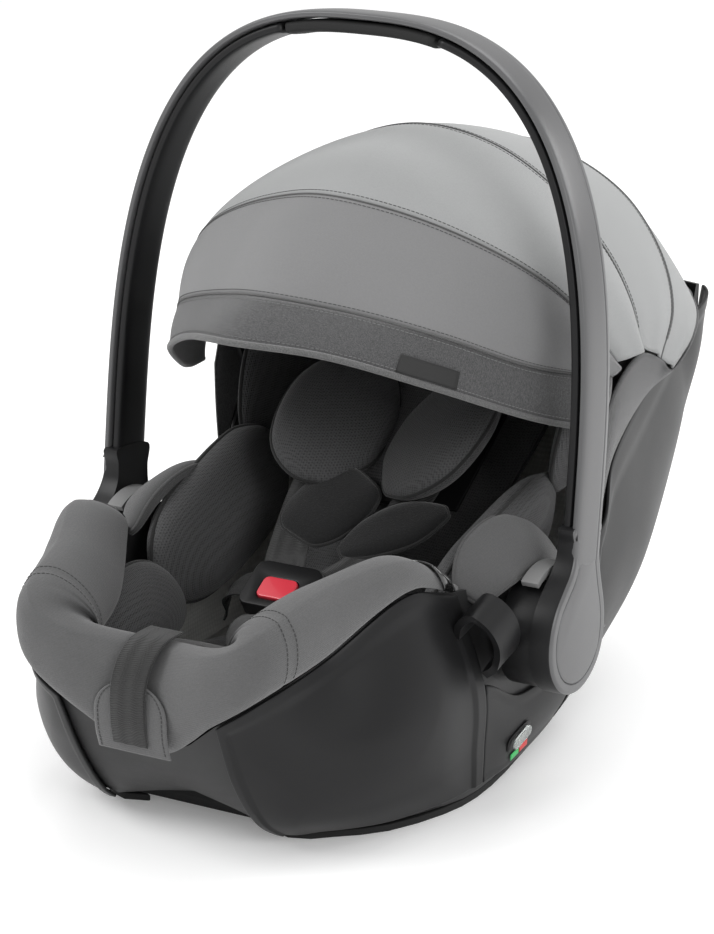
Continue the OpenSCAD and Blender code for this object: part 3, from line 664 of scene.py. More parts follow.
# ---------------------------------------------------------------- straps and sweeps
def ribbon(points, face, width, thick, steps=40, taper=None):
    """A flat strap with softly rounded edges along points; UV runs in metres."""
    mids = [place(*p) for p in points]
    length = sum((along(mids, (i + 1) / 60) - along(mids, i / 60)).length for i in range(60))
    outline = [(-0.5, 0.15), (-0.47, 0.5), (-0.25, 0.5), (0, 0.5), (0.25, 0.5), (0.47, 0.5), (0.5, 0.15), (0.5, -0.15),
               (0.47, -0.5), (0, -0.5), (-0.47, -0.5), (-0.5, -0.15)]

    def fn(a, b):
        t = (along(mids, min(b + 0.01, 1)) - along(mids, max(b - 0.01, 0))).normalized()
        f = face(b) if callable(face) else Vector(face)
        u = f.cross(t).normalized()
        w = t.cross(u)
        x, y = outline[min(int(round(a * 12)), 12) % 12]
        wide = width * (taper(b) if taper else 1.0)
        return along(mids, b) + u * x * wide + w * y * thick

    return skin(fn, 12, steps, wrap=True, caps=True, uv=(width, length))


def squircle(a, b, e, count, middle=(0.0, 0.0)):
    out = []
    for k in range(count):
        q = 2 * math.pi * k / count
        c, s = math.cos(q), math.sin(q)
        out.append((middle[0] + a * math.copysign(abs(c) ** e, c), middle[1] + b * math.copysign(abs(s) ** e, s)))
    return out


# ---------------------------------------------------------------- operators
class CARRIER_OT_finishes(bpy.types.Operator):
    """Mixes every plastic, metal and cloth finish"""

    bl_idname = "carrier.finishes"
    bl_label = "Mix finishes"

    def execute(self, context):
        c = context.scene.carrier_colours
        black = (0.008, 0.008, 0.0085)
        FINISHES.update(
            shell=moulded("shell_plastic", tuple(c.shell), 0.45, specular=0.3),
            cover=moulded("cover_plastic", tuple(c.cover), 0.40, grain=1200.0, depth=0.00003, specular=0.18),
            skin=moulded("handle_plastic", tuple(c.skin), 0.34, grain=1200.0, depth=0.00003),
            black=moulded("black_plastic", black, 0.42, specular=0.25),
            gloss=moulded("gloss_plastic", (0.006, 0.006, 0.006), 0.12, grain=300.0, depth=0.00001, coat=0.6),
            button=moulded("button_plastic", tuple(c.button), 0.42),
            rubber=moulded("rubber", (0.011, 0.011, 0.011), 0.72, grain=500.0, depth=0.0002, specular=0.3),
            red=moulded("red_plastic", tuple(c.red), 0.32, grain=700.0, depth=0.00002, coat=0.3),
            jersey=jersey("jersey_grey", tuple(c.jersey)),
            mesh=spacer_mesh("spacer_mesh", tuple(c.mesh)),
            melange=melange("melange_black", tuple(c.melange)),
            visor=melange("visor_melange", (0.058, 0.058, 0.059)),
            binding=melange("binding_grey", (0.11, 0.11, 0.11), 1.4),
            canopy=woven("canopy_light", tuple(c.canopy)),
            front=woven("canopy_dark", tuple(c.canopy_front)),
            piping=woven("piping_dark", tuple(c.piping), pitch=0.002),
            mesh_piping=jersey("mesh_piping", (0.022, 0.022, 0.022)),
            jersey_piping=jersey("jersey_piping", (0.085, 0.085, 0.085)),
            thread=moulded("thread_dark", (0.035, 0.035, 0.035), 0.8),
            thread_light=moulded("thread_light", (0.16, 0.16, 0.16), 0.8),
            web=webbing("woven_webbing", (0.011, 0.011, 0.011)),
            steel=metal("zinc_steel", (0.62, 0.62, 0.63), 0.32),
            foam=bead_foam("bead_foam", (0.62, 0.62, 0.6)),
            green=moulded("green_mark", (0.03, 0.42, 0.10), 0.4),
            red_mark=moulded("red_mark", (0.55, 0.03, 0.03), 0.4),
            label=moulded("blank_label", (0.012, 0.012, 0.012), 0.7),
        )
        clear = Finish("clear_window", 0.08, specular=0.6)
        clear.shader.inputs["Transmission Weight"].default_value = 0.85
        clear.colour((0.86, 0.9, 0.88))
        clear.relief(clear.cloud(60.0, 2.0), 0.00005)
        FINISHES["window"] = clear.material
        return {"FINISHED"}


def wing_depth(a, b):
    """Inward step of the wing's field from its raised border."""
    edge = min(a * 230, (1 - a) * 150, (1 - b) * 90 + 4, b * 120 + 14)
    return 1.8 * ease(8, 10.5, edge) - 2.2 * ease(14, 60, edge)


def rear_depth(a, b):
    edge = min(a * 240, (1 - a) * 240, (1 - b) * 130, b * 130)
    return 1.5 * ease(9, 13, edge)


def cover_panel(side, u0, u1, v0, v1, nu, nv, depth):
    def fn(a, b):
        u, v = u0 + (u1 - u0) * a, v0 + (v1 - v0) * b
        p = carrier(u, v) - outward(u, v) * depth(a, b)
        return place(p.x * side, p.y, p.z)

    return skin(fn, nu, nv, turned=side < 0)


SIDES = ((1, "right"), (-1, "left"))


class CARRIER_OT_covers(bpy.types.Operator):
    """Lays the wing, side and rear cover panels over the shell"""

    bl_idname = "carrier.covers"
    bl_label = "Cover panels"

    def execute(self, context):
        wall = sizes().cover_t
        m = [FINISHES["cover"]]
        for side, name in SIDES:
            finished(cover_panel(side, 1.02, 4.985, 0.34, 2.99, 90, 60, wing_depth), "wing_panel_" + name, "carrier", m,
                     "cover_plastic", ["wing_cover_" + name], thickness=wall, bevel=0.0012)
            finished(cover_panel(side, 5.015, 6.98, 0.34, 1.99, 40, 34,
                                 lambda a, b: 0.8 * ease(4, 6, min((1 - b) * 80, b * 80))),
                     "side_panel_" + name, "carrier", m, "cover_plastic", ["side_cover_" + name],
                     thickness=wall, bevel=0.0008)
            vents = []
            for row in range(3):
                for k in range(4 - row % 2):
                    u, v = 7.36 + 0.13 * k + 0.06 * (row % 2), 1.42 - 0.13 * row
                    p, n = carrier(u, v) - outward(u, v) * 1.4, outward(u, v)
                    bm = bmesh.new()
                    bmesh.ops.create_circle(bm, cap_ends=True, radius=0.0017, segments=12)
                    spin = Vector((n.x, n.y, n.z)).to_track_quat("Z", "Y").to_matrix().to_4x4()
                    bmesh.ops.transform(bm, matrix=Matrix.Translation(place(p.x, p.y, p.z)) @ spin, verts=bm.verts[:])
                    for f in bm.faces:
                        f.material_index = 1
                    vents.append(bm)
            panel = cover_panel(1, 7.02, 10.98, 0.34, 2.99, 90, 50, rear_depth)
            bm = join(panel, *vents)
            if side < 0:
                bm = mirrored(bm)
            finished(bm, "rear_panel_" + name, "carrier", [FINISHES["cover"], FINISHES["gloss"]],
                     "cover_plastic", ["rear_cover_" + name], thickness=wall, bevel=0.0008)
        return {"FINISHED"}


class CARRIER_OT_shell(bpy.types.Operator):
    """Makes the main shell, its foam liner, runners, latch bars and underside panel"""

    bl_idname = "carrier.shell"
    bl_label = "Shell"

    def execute(self, context):
        softened("base_shell", "shell_tub", "carrier", FINISHES["shell"], "shell_plastic", 0.0, angle=30)
        softened("back_panel", "underside_panel", "carrier", FINISHES["shell"], "shell_plastic", 0.0008)
        softened("energy_liner", "foam_liner", "carrier", FINISHES["foam"], "foam", 0.0)
        for _, name in SIDES:
            softened("runner_" + name, "runner_strip_" + name, "carrier", FINISHES["rubber"], "rubber", 0.0012)
        for node in ("latch_bars", "pivot_pins", "cover_screws"):
            repaint(node, FINISHES["steel"])
        return {"FINISHED"}


FOOT_SIZES = [Vector(p) for p in (
    (84, 24, 52), (54, 9, 55), (50, 9, 52), (52, 14, 46), (25, 8, 42), (9, 4, 26), (22, 7, 40))]
FOOT_PROFILE = [Vector((x, y, 0)) for x, y in (
    (0.1, 0.02), (0.75, 0.18), (1, 0.45), (0.8, 0.75), (0.1, 0.96), (-0.3, 1), (-0.65, 0.84), (-0.92, 0.55), (-1, 0.22),
    (-0.85, -0.02), (-0.5, -0.06), (-0.3, 0.03))]
FOOT_SEAMS = (-2.35, 2.35)


def foot_point(k, s, out=0.0):
    """Station k from -5 to 5 round the rim, share s round the section."""
    u = abs(k)
    p, n = carrier(u, RIM), outward(u, RIM)
    n = Vector((n.x, n.y, 0)).normalized()
    i = min(int(u), 4)
    before = FOOT_SIZES[i - 1] if i else FOOT_SIZES[1]
    size = flow(before, FOOT_SIZES[i], FOOT_SIZES[i + 1], FOOT_SIZES[min(i + 2, 6)], u - i)
    size *= max(1 - (u / 5.0) ** 12, 0.0) ** 0.3
    q = along(FOOT_PROFILE, s, closed=True)
    pinch = sum(math.exp(-((k - at) / 0.035) ** 2) for at in FOOT_SEAMS)
    r = 1 - 0.035 * pinch
    reach = size.y if q.x > 0 else size.z
    p = p + n * (q.x * reach * r) + Vector((0, 0, 2.5 + (q.y * r + 0.02 * pinch) * size.x))
    p.x *= 1 if k >= 0 else -1
    p = place(*p)
    puff = 0.0011 * wander(p, 16.0, 3.0) + 0.0004 * wander(p, 60.0, 8.0)
    away = (p - place(0, -150, 120))
    return p + away.normalized() * (puff + out)


class CARRIER_OT_foot(bpy.types.Operator):
    """Makes the horseshoe foot cushion with the harness adjuster over its middle"""

    bl_idname = "carrier.foot"
    bl_label = "Foot cushion"

    def execute(self, context):
        body = skin(lambda a, b: foot_point(-5 + 10 * b, a), 72, 260, wrap=True)
        parts = [body]
        for at in FOOT_SEAMS:
            for near in (-0.07, 0.07):
                path = [foot_point(at + near, 0.06 + 0.7 * i / 80, 0.0002) for i in range(81)]
                parts.append(stitches(path, lambda i, p: p - place(0, -150, 120), pitch=sizes().stitch_pitch, material=1))
        obj = finished(join(*parts), "foot_roll", "carrier", [FINISHES["jersey"], FINISHES["thread"]], "jersey_grey",
                       ["foot_cushion"])
        patch_route = ((0, -291, 139), (0, -293, 120), (0, -292.3, 100), (0, -287.8, 84))

        def d_shape(b):
            return math.sqrt(max(1 - max(1 - b / 0.42, 0) ** 2, 0.02))

        patch = ribbon(patch_route, (0, -1, 0), 0.062, 0.0016, 40, taper=d_shape)
        rim = []
        mids = [place(*p) for p in patch_route]
        for i in range(61):
            b = 0.05 + 0.93 * abs(i - 30) / 30
            p = along(mids, b)
            rim.append(p + Vector(((1 if i >= 30 else -1) * 0.0275 * d_shape(b) if i != 30 else 0, -0.0009, 0)))
        rows = stitches(rim, lambda i, p: Vector((0, -1, 0)), pitch=0.0034, material=1)
        finished(join(patch, rows), "adjuster_facing", "carrier", [FINISHES["jersey"], FINISHES["thread"]], "jersey_grey",
                 ["adjuster_patch"])
        band = ribbon(((0, -244, 164), (0, -268, 163), (0, -286, 152), (0, -295.2, 134), (0, -295.9, 110), (0, -293, 92)),
                      (0, -0.9, 0.4), 0.030, 0.0018, 60)
        finished(band, "adjuster_webbing", "carrier", [FINISHES["web"]], "webbing", ["adjuster_strap"])
        softened("adjuster_button", "adjuster_press_button", "adjuster_press", FINISHES["black"], "black_plastic", 0.0012)
        return {"FINISHED"}


def seat_pads():
    mesh_look = dict(slot="mesh_dark", material=FINISHES["mesh"], trim=FINISHES["mesh_piping"])
    jersey_look = dict(slot="jersey_grey", material=FINISHES["jersey"], trim=FINISHES["jersey_piping"])
    yield dict(name="leg_bolster", **jersey_look, node="leg_roll", face=(0, -0.3, 1),
               stations=((-80, -166, 106, 20, 15), (0, -176, 106, 25, 18), (80, -166, 106, 20, 15)), corner=4.0, edge=0.75)
    yield dict(name="seat_pad", **mesh_look, node="seat_cushion", face=(0, 0, 1),
               stations=((0, -156, 92, 64, 12), (0, -110, 88, 76, 16), (0, -60, 80, 78, 16), (0, -14, 78, 72, 13)),
               corner=5.0, dips=((0.33, 0.25, 0.03), (0.66, 0.25, 0.03)))
    yield dict(name="back_pad", **mesh_look, node="backrest_pad", face=(0, -0.6, 0.8),
               stations=((0, -4, 88, 66, 10), (0, 60, 128, 74, 13), (0, 150, 190, 80, 13), (0, 246, 256, 82, 13),
                         (0, 324, 310, 72, 10)), corner=6.0)
    for side, name in SIDES:
        yield dict(name="thigh_pad_" + name, side=side, **mesh_look, node="thigh_wing_" + name,
                   face=(-1, 0, 0.35), stations=((84, -204, 130, 24, 9), (92, -162, 134, 31, 14), (97, -118, 128, 34, 15),
                                                 (100, -70, 110, 26, 11)), corner=2.3, edge=0.8)
        yield dict(name="side_bolster_" + name, side=side, **mesh_look, node="bolster_" + name,
                   face=(-1, 0, 0.3), stations=((116, -80, 128, 32, 11), (120, -40, 143, 44, 18), (123, 20, 160, 47, 20),
                                                (126, 76, 178, 45, 18), (128, 112, 196, 34, 11)), corner=3.0, edge=0.7, rings=60)
        yield dict(name="elbow_pad_" + name, side=side, **jersey_look,
                   node="side_pad_" + name, face=(0.6, 0, 0.8), stations=((151, -70, 163, 17, 7), (154, -40, 183, 24, 9),
                                                                         (155, 8, 186, 25, 9), (155, 58, 166, 18, 7)), corner=4.0)
        yield dict(name="head_side_pad_" + name, side=side, **mesh_look,
                   node="head_wall_" + name, face=(-1, 0, 0.15), stations=((141, 88, 206, 26, 8), (143, 140, 250, 47, 10),
                                                                         (138, 210, 292, 49, 11), (126, 290, 328, 38, 9)),
                   corner=3.0)


class CARRIER_OT_seat(bpy.types.Operator):
    """Fills the seat with its cushions, bolsters and side pads"""

    bl_idname = "carrier.seat"
    bl_label = "Seat padding"

    def execute(self, context):
        for k, facts in enumerate(seat_pads()):
            pad_piece(body="carrier", seed=1.0 + k, **facts)
        return {"FINISHED"}


class CARRIER_OT_headrest(bpy.types.Operator):
    """Makes the sliding headrest with its two ear lobes"""

    bl_idname = "carrier.headrest"
    bl_label = "Headrest"

    def execute(self, context):
        parts, seams = [], []
        pad, seam = cushion(((0, 48, 182, 52, 9), (0, 96, 215, 68, 13), (0, 140, 244, 68, 13), (0, 176, 270, 50, 9)),
                            (0, -0.55, 0.83), corner=3.2)
        parts, seams = [pad], [seam]
        for side, _ in SIDES:
            pad, seam = cushion(((38, 22, 198, 26, 10), (46, 52, 218, 43, 17), (49, 92, 243, 46, 18), (47, 134, 270, 34, 11)),
                                (-0.35, -0.55, 0.78), corner=3.4, edge=0.66, side=side, seed=4.0 + side)
            parts.append(pad)
            seams.append(seam)
        parts += [tube(s, sizes().piping_r, 8, closed=True, material=1) for s in seams]
        obj = finished(join(*parts), "headrest_cushion", "headrest", [FINISHES["mesh"], FINISHES["mesh_piping"]],
                       "mesh_dark", ["headrest_pad"])
        softened("headrest_shell", "headrest_board", "headrest", FINISHES["black"], "black_plastic", 0.001)
        return {"FINISHED"}


SHOULDER_ROUTE = ((48, 70, 214), (47, 50, 202), (45, 28, 188), (40, 2, 170), (32, -26, 154), (22, -48, 146))
HIP_ROUTE = ((88, -26, 98), (80, -34, 116), (64, -44, 128), (44, -52, 134), (32, -56, 136))


CHEST_PADS = {"left": ((-32, -12, 163, 25, 6), (-24, 6, 175, 32, 9), (-12, 26, 189, 33, 9), (0, 44, 201, 26, 6)),
              "right": ((10, -16, 158, 9, 5), (32, -2, 170, 20, 8), (56, 14, 181, 22, 8), (80, 30, 190, 9, 5))}


class CARRIER_OT_harness(bpy.types.Operator):
    """Threads the webbing, its chest and crotch pads, and the buckle"""

    bl_idname = "carrier.harness"
    bl_label = "Harness"

    def execute(self, context):
        s = sizes()
        one = join(ribbon(SHOULDER_ROUTE, (0, -0.45, 0.9), s.web_w, s.web_t, 60),
                   ribbon(HIP_ROUTE, (0, -0.5, 0.86), 0.026, s.web_t, 40))
        finished(join(one, mirrored(one)), "harness_straps", "carrier", [FINISHES["web"]], "webbing", ["harness_webbing"])
        for side, name in SIDES:
            pad_piece(name="shoulder_pad_" + name, body="carrier", slot="melange_black", material=FINISHES["melange"],
                      trim=FINISHES["mesh_piping"], node="chest_pad_" + name, face=(0.05, -0.5, 0.85),
                      stations=CHEST_PADS[name], corner=4.6, edge=0.52, seed=9.0 + side)
        pad_piece(name="crotch_cushion", body="carrier", slot="jersey_grey", material=FINISHES["jersey"],
                  trim=FINISHES["jersey_piping"], node="crotch_pad", face=(0, -0.75, 0.6),
                  stations=((0, -125, 104, 27, 5), (0, -111, 117, 31, 8), (0, -98, 128, 28, 5)), corner=3.4)
        softened("buckle_body", "buckle_case", "carrier", FINISHES["black"], "black_plastic", 0.0016)
        softened("buckle_button", "buckle_press_button", "buckle_press", FINISHES["red"], "red_plastic", 0.0011)
        return {"FINISHED"}


# The handle stands in its own leaning plane: x across, h up from the hinge line
HANDLE_HALF, HANDLE_T, HANDLE_H, STRAIGHT_H, POWER, SHIFT = 214.0, 15.0, 0.0, 100.0, 2.75, 9.0
HANDLE_H = (468 + 102 - 125) / math.cos(LEAN) + SHIFT * math.tan(LEAN)


def in_handle(x, y, h):
    """Handle plane to the frame."""
    c, d = math.cos(LEAN), math.sin(LEAN)
    return place(x, PIVOT[0] + y * c + h * d, PIVOT[1] - y * d + h * c)


def bow_at(q):
    c = math.cos(q)
    return Vector((math.copysign(abs(c) ** (2 / POWER), c) * (HANDLE_HALF - HANDLE_T / 2), 0,
                   STRAIGHT_H + (HANDLE_H - HANDLE_T / 2 - STRAIGHT_H) * max(math.sin(q), 0) ** (2 / POWER)))


def bow_path(count):
    """Points up the right leg, over the top and down the left, at an even pitch."""
    dense = [Vector((HANDLE_HALF - HANDLE_T / 2, 0, 47 + i * 2.0)) for i in range(26)]
    dense += [bow_at(math.pi * i / 600) for i in range(1, 600)]
    dense += [Vector((-HANDLE_HALF + HANDLE_T / 2, 0, 97 - i * 2.0)) for i in range(26)]
    total = sum((b - a).length for a, b in zip(dense, dense[1:]))
    return even(dense, total / count)


def bow_bar(path, outline):
    """A bar with its section in (outwards, towards the head) carried along part of the bow."""
    n, m = len(path) - 1, len(outline)

    def fn(a, b):
        i = min(int(round(b * n)), n)
        t = (path[min(i + 1, n)] - path[max(i - 1, 0)]).normalized()
        x, y = outline[int(round(a * m)) % m]
        p = path[i] + Vector((t.z, 0, -t.x)) * x
        return in_handle(p.x, SHIFT + y, p.z)

    return skin(fn, m, n, wrap=True, caps=True)


class CARRIER_OT_handle(bpy.types.Operator):
    """Bends the carry handle's outer skin, inner liner and rubber grip"""

    bl_idname = "carrier.handle"
    bl_label = "Handle"

    def execute(self, context):
        depth = sizes().handle_d / MM
        path = bow_path(220)
        outline = []
        for x, y in squircle(3.25, depth / 2, 0.5, 132, (4.25, 0.0)):
            near = abs(y - 13.2)
            if x > 4.25 and near < 1.1:
                x -= 1.0 * (1 - near / 1.1)
            outline.append((x + (0.5 * (1 - (y / 21) ** 2) if x > 4.25 else 0), y))
        whole = [p for p in path if p.z > 50 or abs(p.x) < 150]
        finished(bow_bar(whole, outline), "handle_shell", "handle", [FINISHES["skin"]], "handle_skin", ["handle_bow"])
        grip = sizes().grip_l / 2 / MM
        inner = [(x, y) for x, y in squircle(4.2, depth / 2 - 1.6, 0.5, 60, (-3.5, 0.0))]
        legs = [[p for p in whole if p.x * s > grip + 1.5] for s in (1, -1)]
        finished(join(*(bow_bar(leg, inner) for leg in legs)), "handle_inner_strip", "handle", [FINISHES["black"]],
                 "black_plastic", ["handle_liner"])
        sleeve = [(x, y) for x, y in squircle(5.2, depth / 2 - 0.8, 0.55, 60, (-4.6, 0.0))]
        middle = [p for p in whole if abs(p.x) <= grip]
        finished(bow_bar(middle, sleeve), "handle_grip_sleeve", "handle", [FINISHES["rubber"]], "rubber", ["handle_grip"])
        return {"FINISHED"}


HUB_OUTLINE = [Vector((y, h, 0)) for y, h in (
    (30, 84), (30, 66), (30.5, 54), (34, 40), (40.5, 24), (44.6, 8), (44.3, -10), (38, -25), (26, -37), (10, -44.2),
    (-8, -44.4), (-25, -37.6), (-38, -24.6), (-44.4, -9), (-44.4, 8), (-39, 24), (-28, 38), (-18, 49), (-12.6, 60),
    (-12, 72), (-12, 84))]


HOOK_ROUTE = ((160, -86, 146), (165, -92, 158), (176, -94, 166), (187, -89, 158), (190, -79, 141), (184, -71, 123),
              (172, -70, 112))


class CARRIER_OT_hubs(bpy.types.Operator):
    """Makes the handle hubs, their drums, release buttons, belt hooks and trims"""

    bl_idname = "carrier.hubs"
    bl_label = "Hubs and hooks"

    def execute(self, context):
        for side, name in SIDES:
            bm = bmesh.new()
            made = bmesh.ops.create_circle(bm, cap_ends=True, radius=1.0, segments=120)
            ring = sorted(made["verts"], key=lambda v: math.atan2(v.co.y, v.co.x) % (2 * math.pi))
            for k, v in enumerate(ring):
                p = along(HUB_OUTLINE, k / len(ring), closed=True)
                v.co = Vector((p.x, p.y, 0))
            face = bm.faces[:][0]
            if face.normal.z < 0:
                face.normal_flip()
            face.normal_update()
            top = bmesh.ops.extrude_face_region(bm, geom=[face])
            lid = [g for g in top["geom"] if isinstance(g, bmesh.types.BMFace)]
            bmesh.ops.translate(bm, vec=(0, 0, 18.6), verts=[g for g in top["geom"] if isinstance(g, bmesh.types.BMVert)])
            bmesh.ops.recalc_face_normals(bm, faces=bm.faces[:])
            rim = [e for e in lid[0].edges]
            bmesh.ops.bevel(bm, geom=rim, offset=3.2, offset_type="OFFSET", affect="EDGES", segments=4, profile=0.5,
                            material=-1, clamp_overlap=True)
            lid = max((f for f in bm.faces if f.normal.z > 0.99), key=lambda f: f.calc_area())
            bmesh.ops.inset_region(bm, faces=[lid], thickness=4.5, depth=0.0)
            bmesh.ops.inset_region(bm, faces=[lid], thickness=0.7, depth=-0.9)
            bmesh.ops.inset_region(bm, faces=[lid], thickness=0.7, depth=0.9)
            bmesh.ops.inset_region(bm, faces=[lid], thickness=2.0, depth=0.5)
            for f in bm.faces:
                f.smooth = True
                f.material_index = 0 if f.normal.z > 0.3 else 1
            for v in bm.verts:
                x = 205.5 + (v.co.z - 9.3) * (1 - 0.24 * ease(34, 84, v.co.y))
                v.co = in_handle(side * x, v.co.x, v.co.y)
            bmesh.ops.recalc_face_normals(bm, faces=bm.faces[:])
            obj = finished(bm, "hub_shell_" + name, "handle", [FINISHES["skin"], FINISHES["black"]], "handle_skin",
                           ["hub_caps"])
            keep_edges(obj, 35)
            softened("hub_drum_" + name, "hub_core_" + name, "carrier", FINISHES["black"], "black_plastic", 0.0014)
            softened("release_button_" + name, "release_press_" + name, "release_" + name, FINISHES["button"],
                     "button_grey", 0.0014)
            hook = ribbon([(side * x, y, z) for x, y, z in HOOK_ROUTE], Vector((side * 0.2, 1, 0.5)), 0.006, 0.026, 50)
            obj = finished(hook, "belt_guide_" + name, "carrier", [FINISHES["black"]], "black_plastic",
                           ["belt_hook_" + name])
            keep_edges(obj, 50)
            trim = skin(lambda a, b: foot_point(4.30 + 0.24 * a + 0.30 * b * b, 0.62 - 0.57 * b,
                                                0.0026 - 0.0012 * (2 * a - 1) ** 4), 8, 50)
            if side < 0:
                trim = mirrored(trim)
            finished(thickened(trim, 0.0022), "rim_band_" + name, "carrier", [FINISHES["gloss"]], "gloss_trim",
                     ["rim_trim_" + name])
        softened("adapter_pads", "pushchair_adapters", "carrier", FINISHES["black"], "black_plastic", 0.0015)
        return {"FINISHED"}


SEAM_X = (0, 60, 115, 155, 176, 183)
SEAMS = (((-150, 356), (-118, 346), (-62, 318), (12, 283), (57, 267), (88, 264)),
         ((-108, 382), (-78, 370), (-43, 351), (14, 322), (68, 305), (104, 296)),
         ((-18, 441), (0, 429), (20, 407), (44, 379), (73, 345), (109, 306)),
         ((141, 468), (146, 455), (146, 423), (145, 383), (147, 345), (152, 308)),
         ((288, 433), (278, 423), (263, 399), (244, 362), (224, 323), (190, 290)),
         ((372, 334), (368, 331), (350, 316), (315, 303), (266, 290), (214, 276)))


def seam_point(s, a):
    """Seam s from 0 at the visor edge to 5 at the shell; a from 0 at the left hinge to 1 at the right."""
    half = [Vector((x, y, z)) for x, (y, z) in zip(SEAM_X, SEAMS[s])]
    return along([flip(p) for p in half[:0:-1]] + half, a)


def panel_point(s, a, b, out, sink=0.0):
    p = seam_point(s, a).lerp(seam_point(s + 1, a), b)
    away = p - Vector((0.4 * p.x, *CANOPY_HINGE))
    rise = out * 4 * b * (1 - b) - sink
    return place(*(p + away.normalized() * rise))


def folds(a, b):
    """Soft creases where the cloth gathers towards the hinge."""
    near = max(abs(2 * a - 1) - 0.55, 0) / 0.45
    return 1.6 * near * math.sin(9.0 * b + 2.0) * math.sin(math.pi * b)


class CARRIER_OT_canopy(bpy.types.Operator):
    """Stretches the canopy panels over their three bows"""

    bl_idname = "carrier.canopy"
    bl_label = "Canopy"

    def panel(self, s, out, name, nodes, finish, slot, bodies, rows=22, inset=0.004):
        thick = sizes().cloth_t
        fn = lambda a, b: panel_point(s, a, inset + (1 - 2 * inset) * b, out + folds(a, b) * (1 if s > 1 else 0.4))
        wide = sum((fn((i + 1) / 40, 0.5) - fn(i / 40, 0.5)).length for i in range(40))
        long = sum((fn(0.5, (i + 1) / 10) - fn(0.5, i / 10)).length for i in range(10))
        cloth = skin(fn, 110, rows, uv=(wide, long))
        area = sum(f.calc_area() for f in cloth.faces)
        thickened(cloth, thick)
        parts = [cloth]
        for b in (0.035, 0.965):
            path = [fn(i / 240, b) for i in range(8, 233)]
            middle = place(0, 110, 290)
            parts.append(stitches(path, lambda i, p: p - middle, pitch=sizes().stitch_pitch, material=1))
        obj = finished(join(*parts), name, bodies[0], [finish, FINISHES["thread"]], slot, nodes, rides=len(bodies) == 1)
        if len(bodies) == 2:
            front, back = seam_point(s, 0.5), seam_point(s + 1, 0.5)
            place(*back)
            place(*front)
            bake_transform(obj)
            turn = [self.share(s, v.co) for v in obj.data.vertices]
        length = max(long, 0.02)
        max(wide, area / length)
        min(area, max(wide, area / length) * length)
        return obj

    def share(self, s, p):
        """How far a point is from the rear seam to the front one, by its angle round the hinge."""
        hinge = place(0, *CANOPY_HINGE)
        half_x = min(abs(p.x) / MM, 182.5)
        k = next(i for i in range(5) if half_x <= SEAM_X[i + 1])
        a = 0.5 + 0.1 * (k + (half_x - SEAM_X[k]) / (SEAM_X[k + 1] - SEAM_X[k]))
        angle = lambda q: math.atan2(q.z - hinge.z, hinge.y - q.y)
        front, back = angle(place(*seam_point(s, a))), angle(place(*seam_point(s + 1, a)))
        here = angle(p)
        if abs(back - front) < 1e-4:
            return 1.0
        return min(max((back - here) / (back - front), 0.0), 1.0)

    def execute(self, context):
        light, dark, piping = FINISHES["canopy"], FINISHES["front"], FINISHES["piping"]
        self.panel(4, 3, "canopy_rear_panel", ["canopy_rear_cloth"], light, "canopy_light", ["carrier"])
        self.panel(3, 4, "canopy_crown_panel", ["canopy_crown_cloth"], light, "canopy_light", ["carrier", "canopy_back"])
        self.panel(2, 10, "canopy_top_panel", ["canopy_top_cloth"], light, "canopy_light",
                   ["canopy_back", "canopy_middle"])
        self.panel(1, 6, "canopy_front_panel", ["canopy_front_cloth"], dark, "canopy_dark",
                   ["canopy_middle", "canopy_front"])
        for s, body in ((4, "carrier"), (3, "canopy_back"), (2, "canopy_middle"), (1, "canopy_front")):
            line = [place(*seam_point(s, i / 160)) for i in range(161)]
            finished(tube(line, sizes().piping_r * 0.55, 8), "canopy_piping_%d" % s, body, [piping], "canopy_dark")
        for name in ("back", "middle", "front"):
            softened("canopy_bow_" + name, "bow_hoop_" + name, "canopy_" + name, FINISHES["black"], "black_plastic", 0.0)
        softened("canopy_studs", "canopy_hinge_studs", "carrier", FINISHES["black"], "black_plastic", 0.0008)
        return {"FINISHED"}


class CARRIER_OT_visor(bpy.types.Operator):
    """Sews the visor band with its binding and the skirt round the back of the shell"""

    bl_idname = "carrier.visor"
    bl_label = "Visor and skirt"

    def execute(self, context):
        band = skin(lambda a, b: panel_point(0, a, b * 0.985, 3, 0.6), 110, 14)
        edge = [panel_point(0, i / 160, 0.0, 0, 0.8) for i in range(161)]
        hem = tube(edge, 0.0026, 10, material=1)
        middle = place(0, 110, 290)
        rows = [stitches([panel_point(0, i / 240, b, 3, 0.5) for i in range(6, 235)], lambda i, p: p - middle,
                         pitch=sizes().stitch_pitch, material=2) for b in (0.13, 0.90)]
        label = skin(lambda a, b: panel_point(0, 0.665 + 0.06 * a, 0.10 + 0.36 * b, 3, -0.9), 16, 6, material=3)
        finished(join(thickened(band, 0.0024), hem, *rows, thickened(label, 0.0012)), "visor_strip", "canopy_front",
                 [FINISHES["visor"], FINISHES["binding"], FINISHES["thread_light"], FINISHES["label"]],
                 "melange_black", ["visor_band"])
        top = [Vector(p) for p in ((176, 98, 258), (181, 120, 290), (183, 152, 303), (183, 190, 290), (183, 214, 276),
                                   (176, 266, 290), (155, 315, 303), (115, 350, 316), (60, 368, 331), (0, 372, 334))]
        low = [Vector(p) for p in ((173, 100, 170), (172, 122, 216), (169, 150, 235), (163, 190, 248), (158, 226, 259),
                                   (150, 266, 271), (143, 306, 283), (128, 362, 300), (64, 380, 303), (0, 384, 303))]

        def skirt(a, b):
            k = abs(2 * a - 1)
            p = along(low, 1 - k).lerp(along(top, 1 - k), b)
            p = p + Vector((1.5 * math.sin(math.pi * b), 0.5 * math.sin(math.pi * b), 0))
            return place(p.x if a > 0.5 else -p.x, p.y, p.z)

        bm = skin(skirt, 160, 12)
        area = sum(f.calc_area() for f in bm.faces)
        obj = finished(bm, "canopy_skirt", "carrier", [FINISHES["visor"]], "melange_black", thickness=0.0015)
        area / 0.06
        return {"FINISHED"}


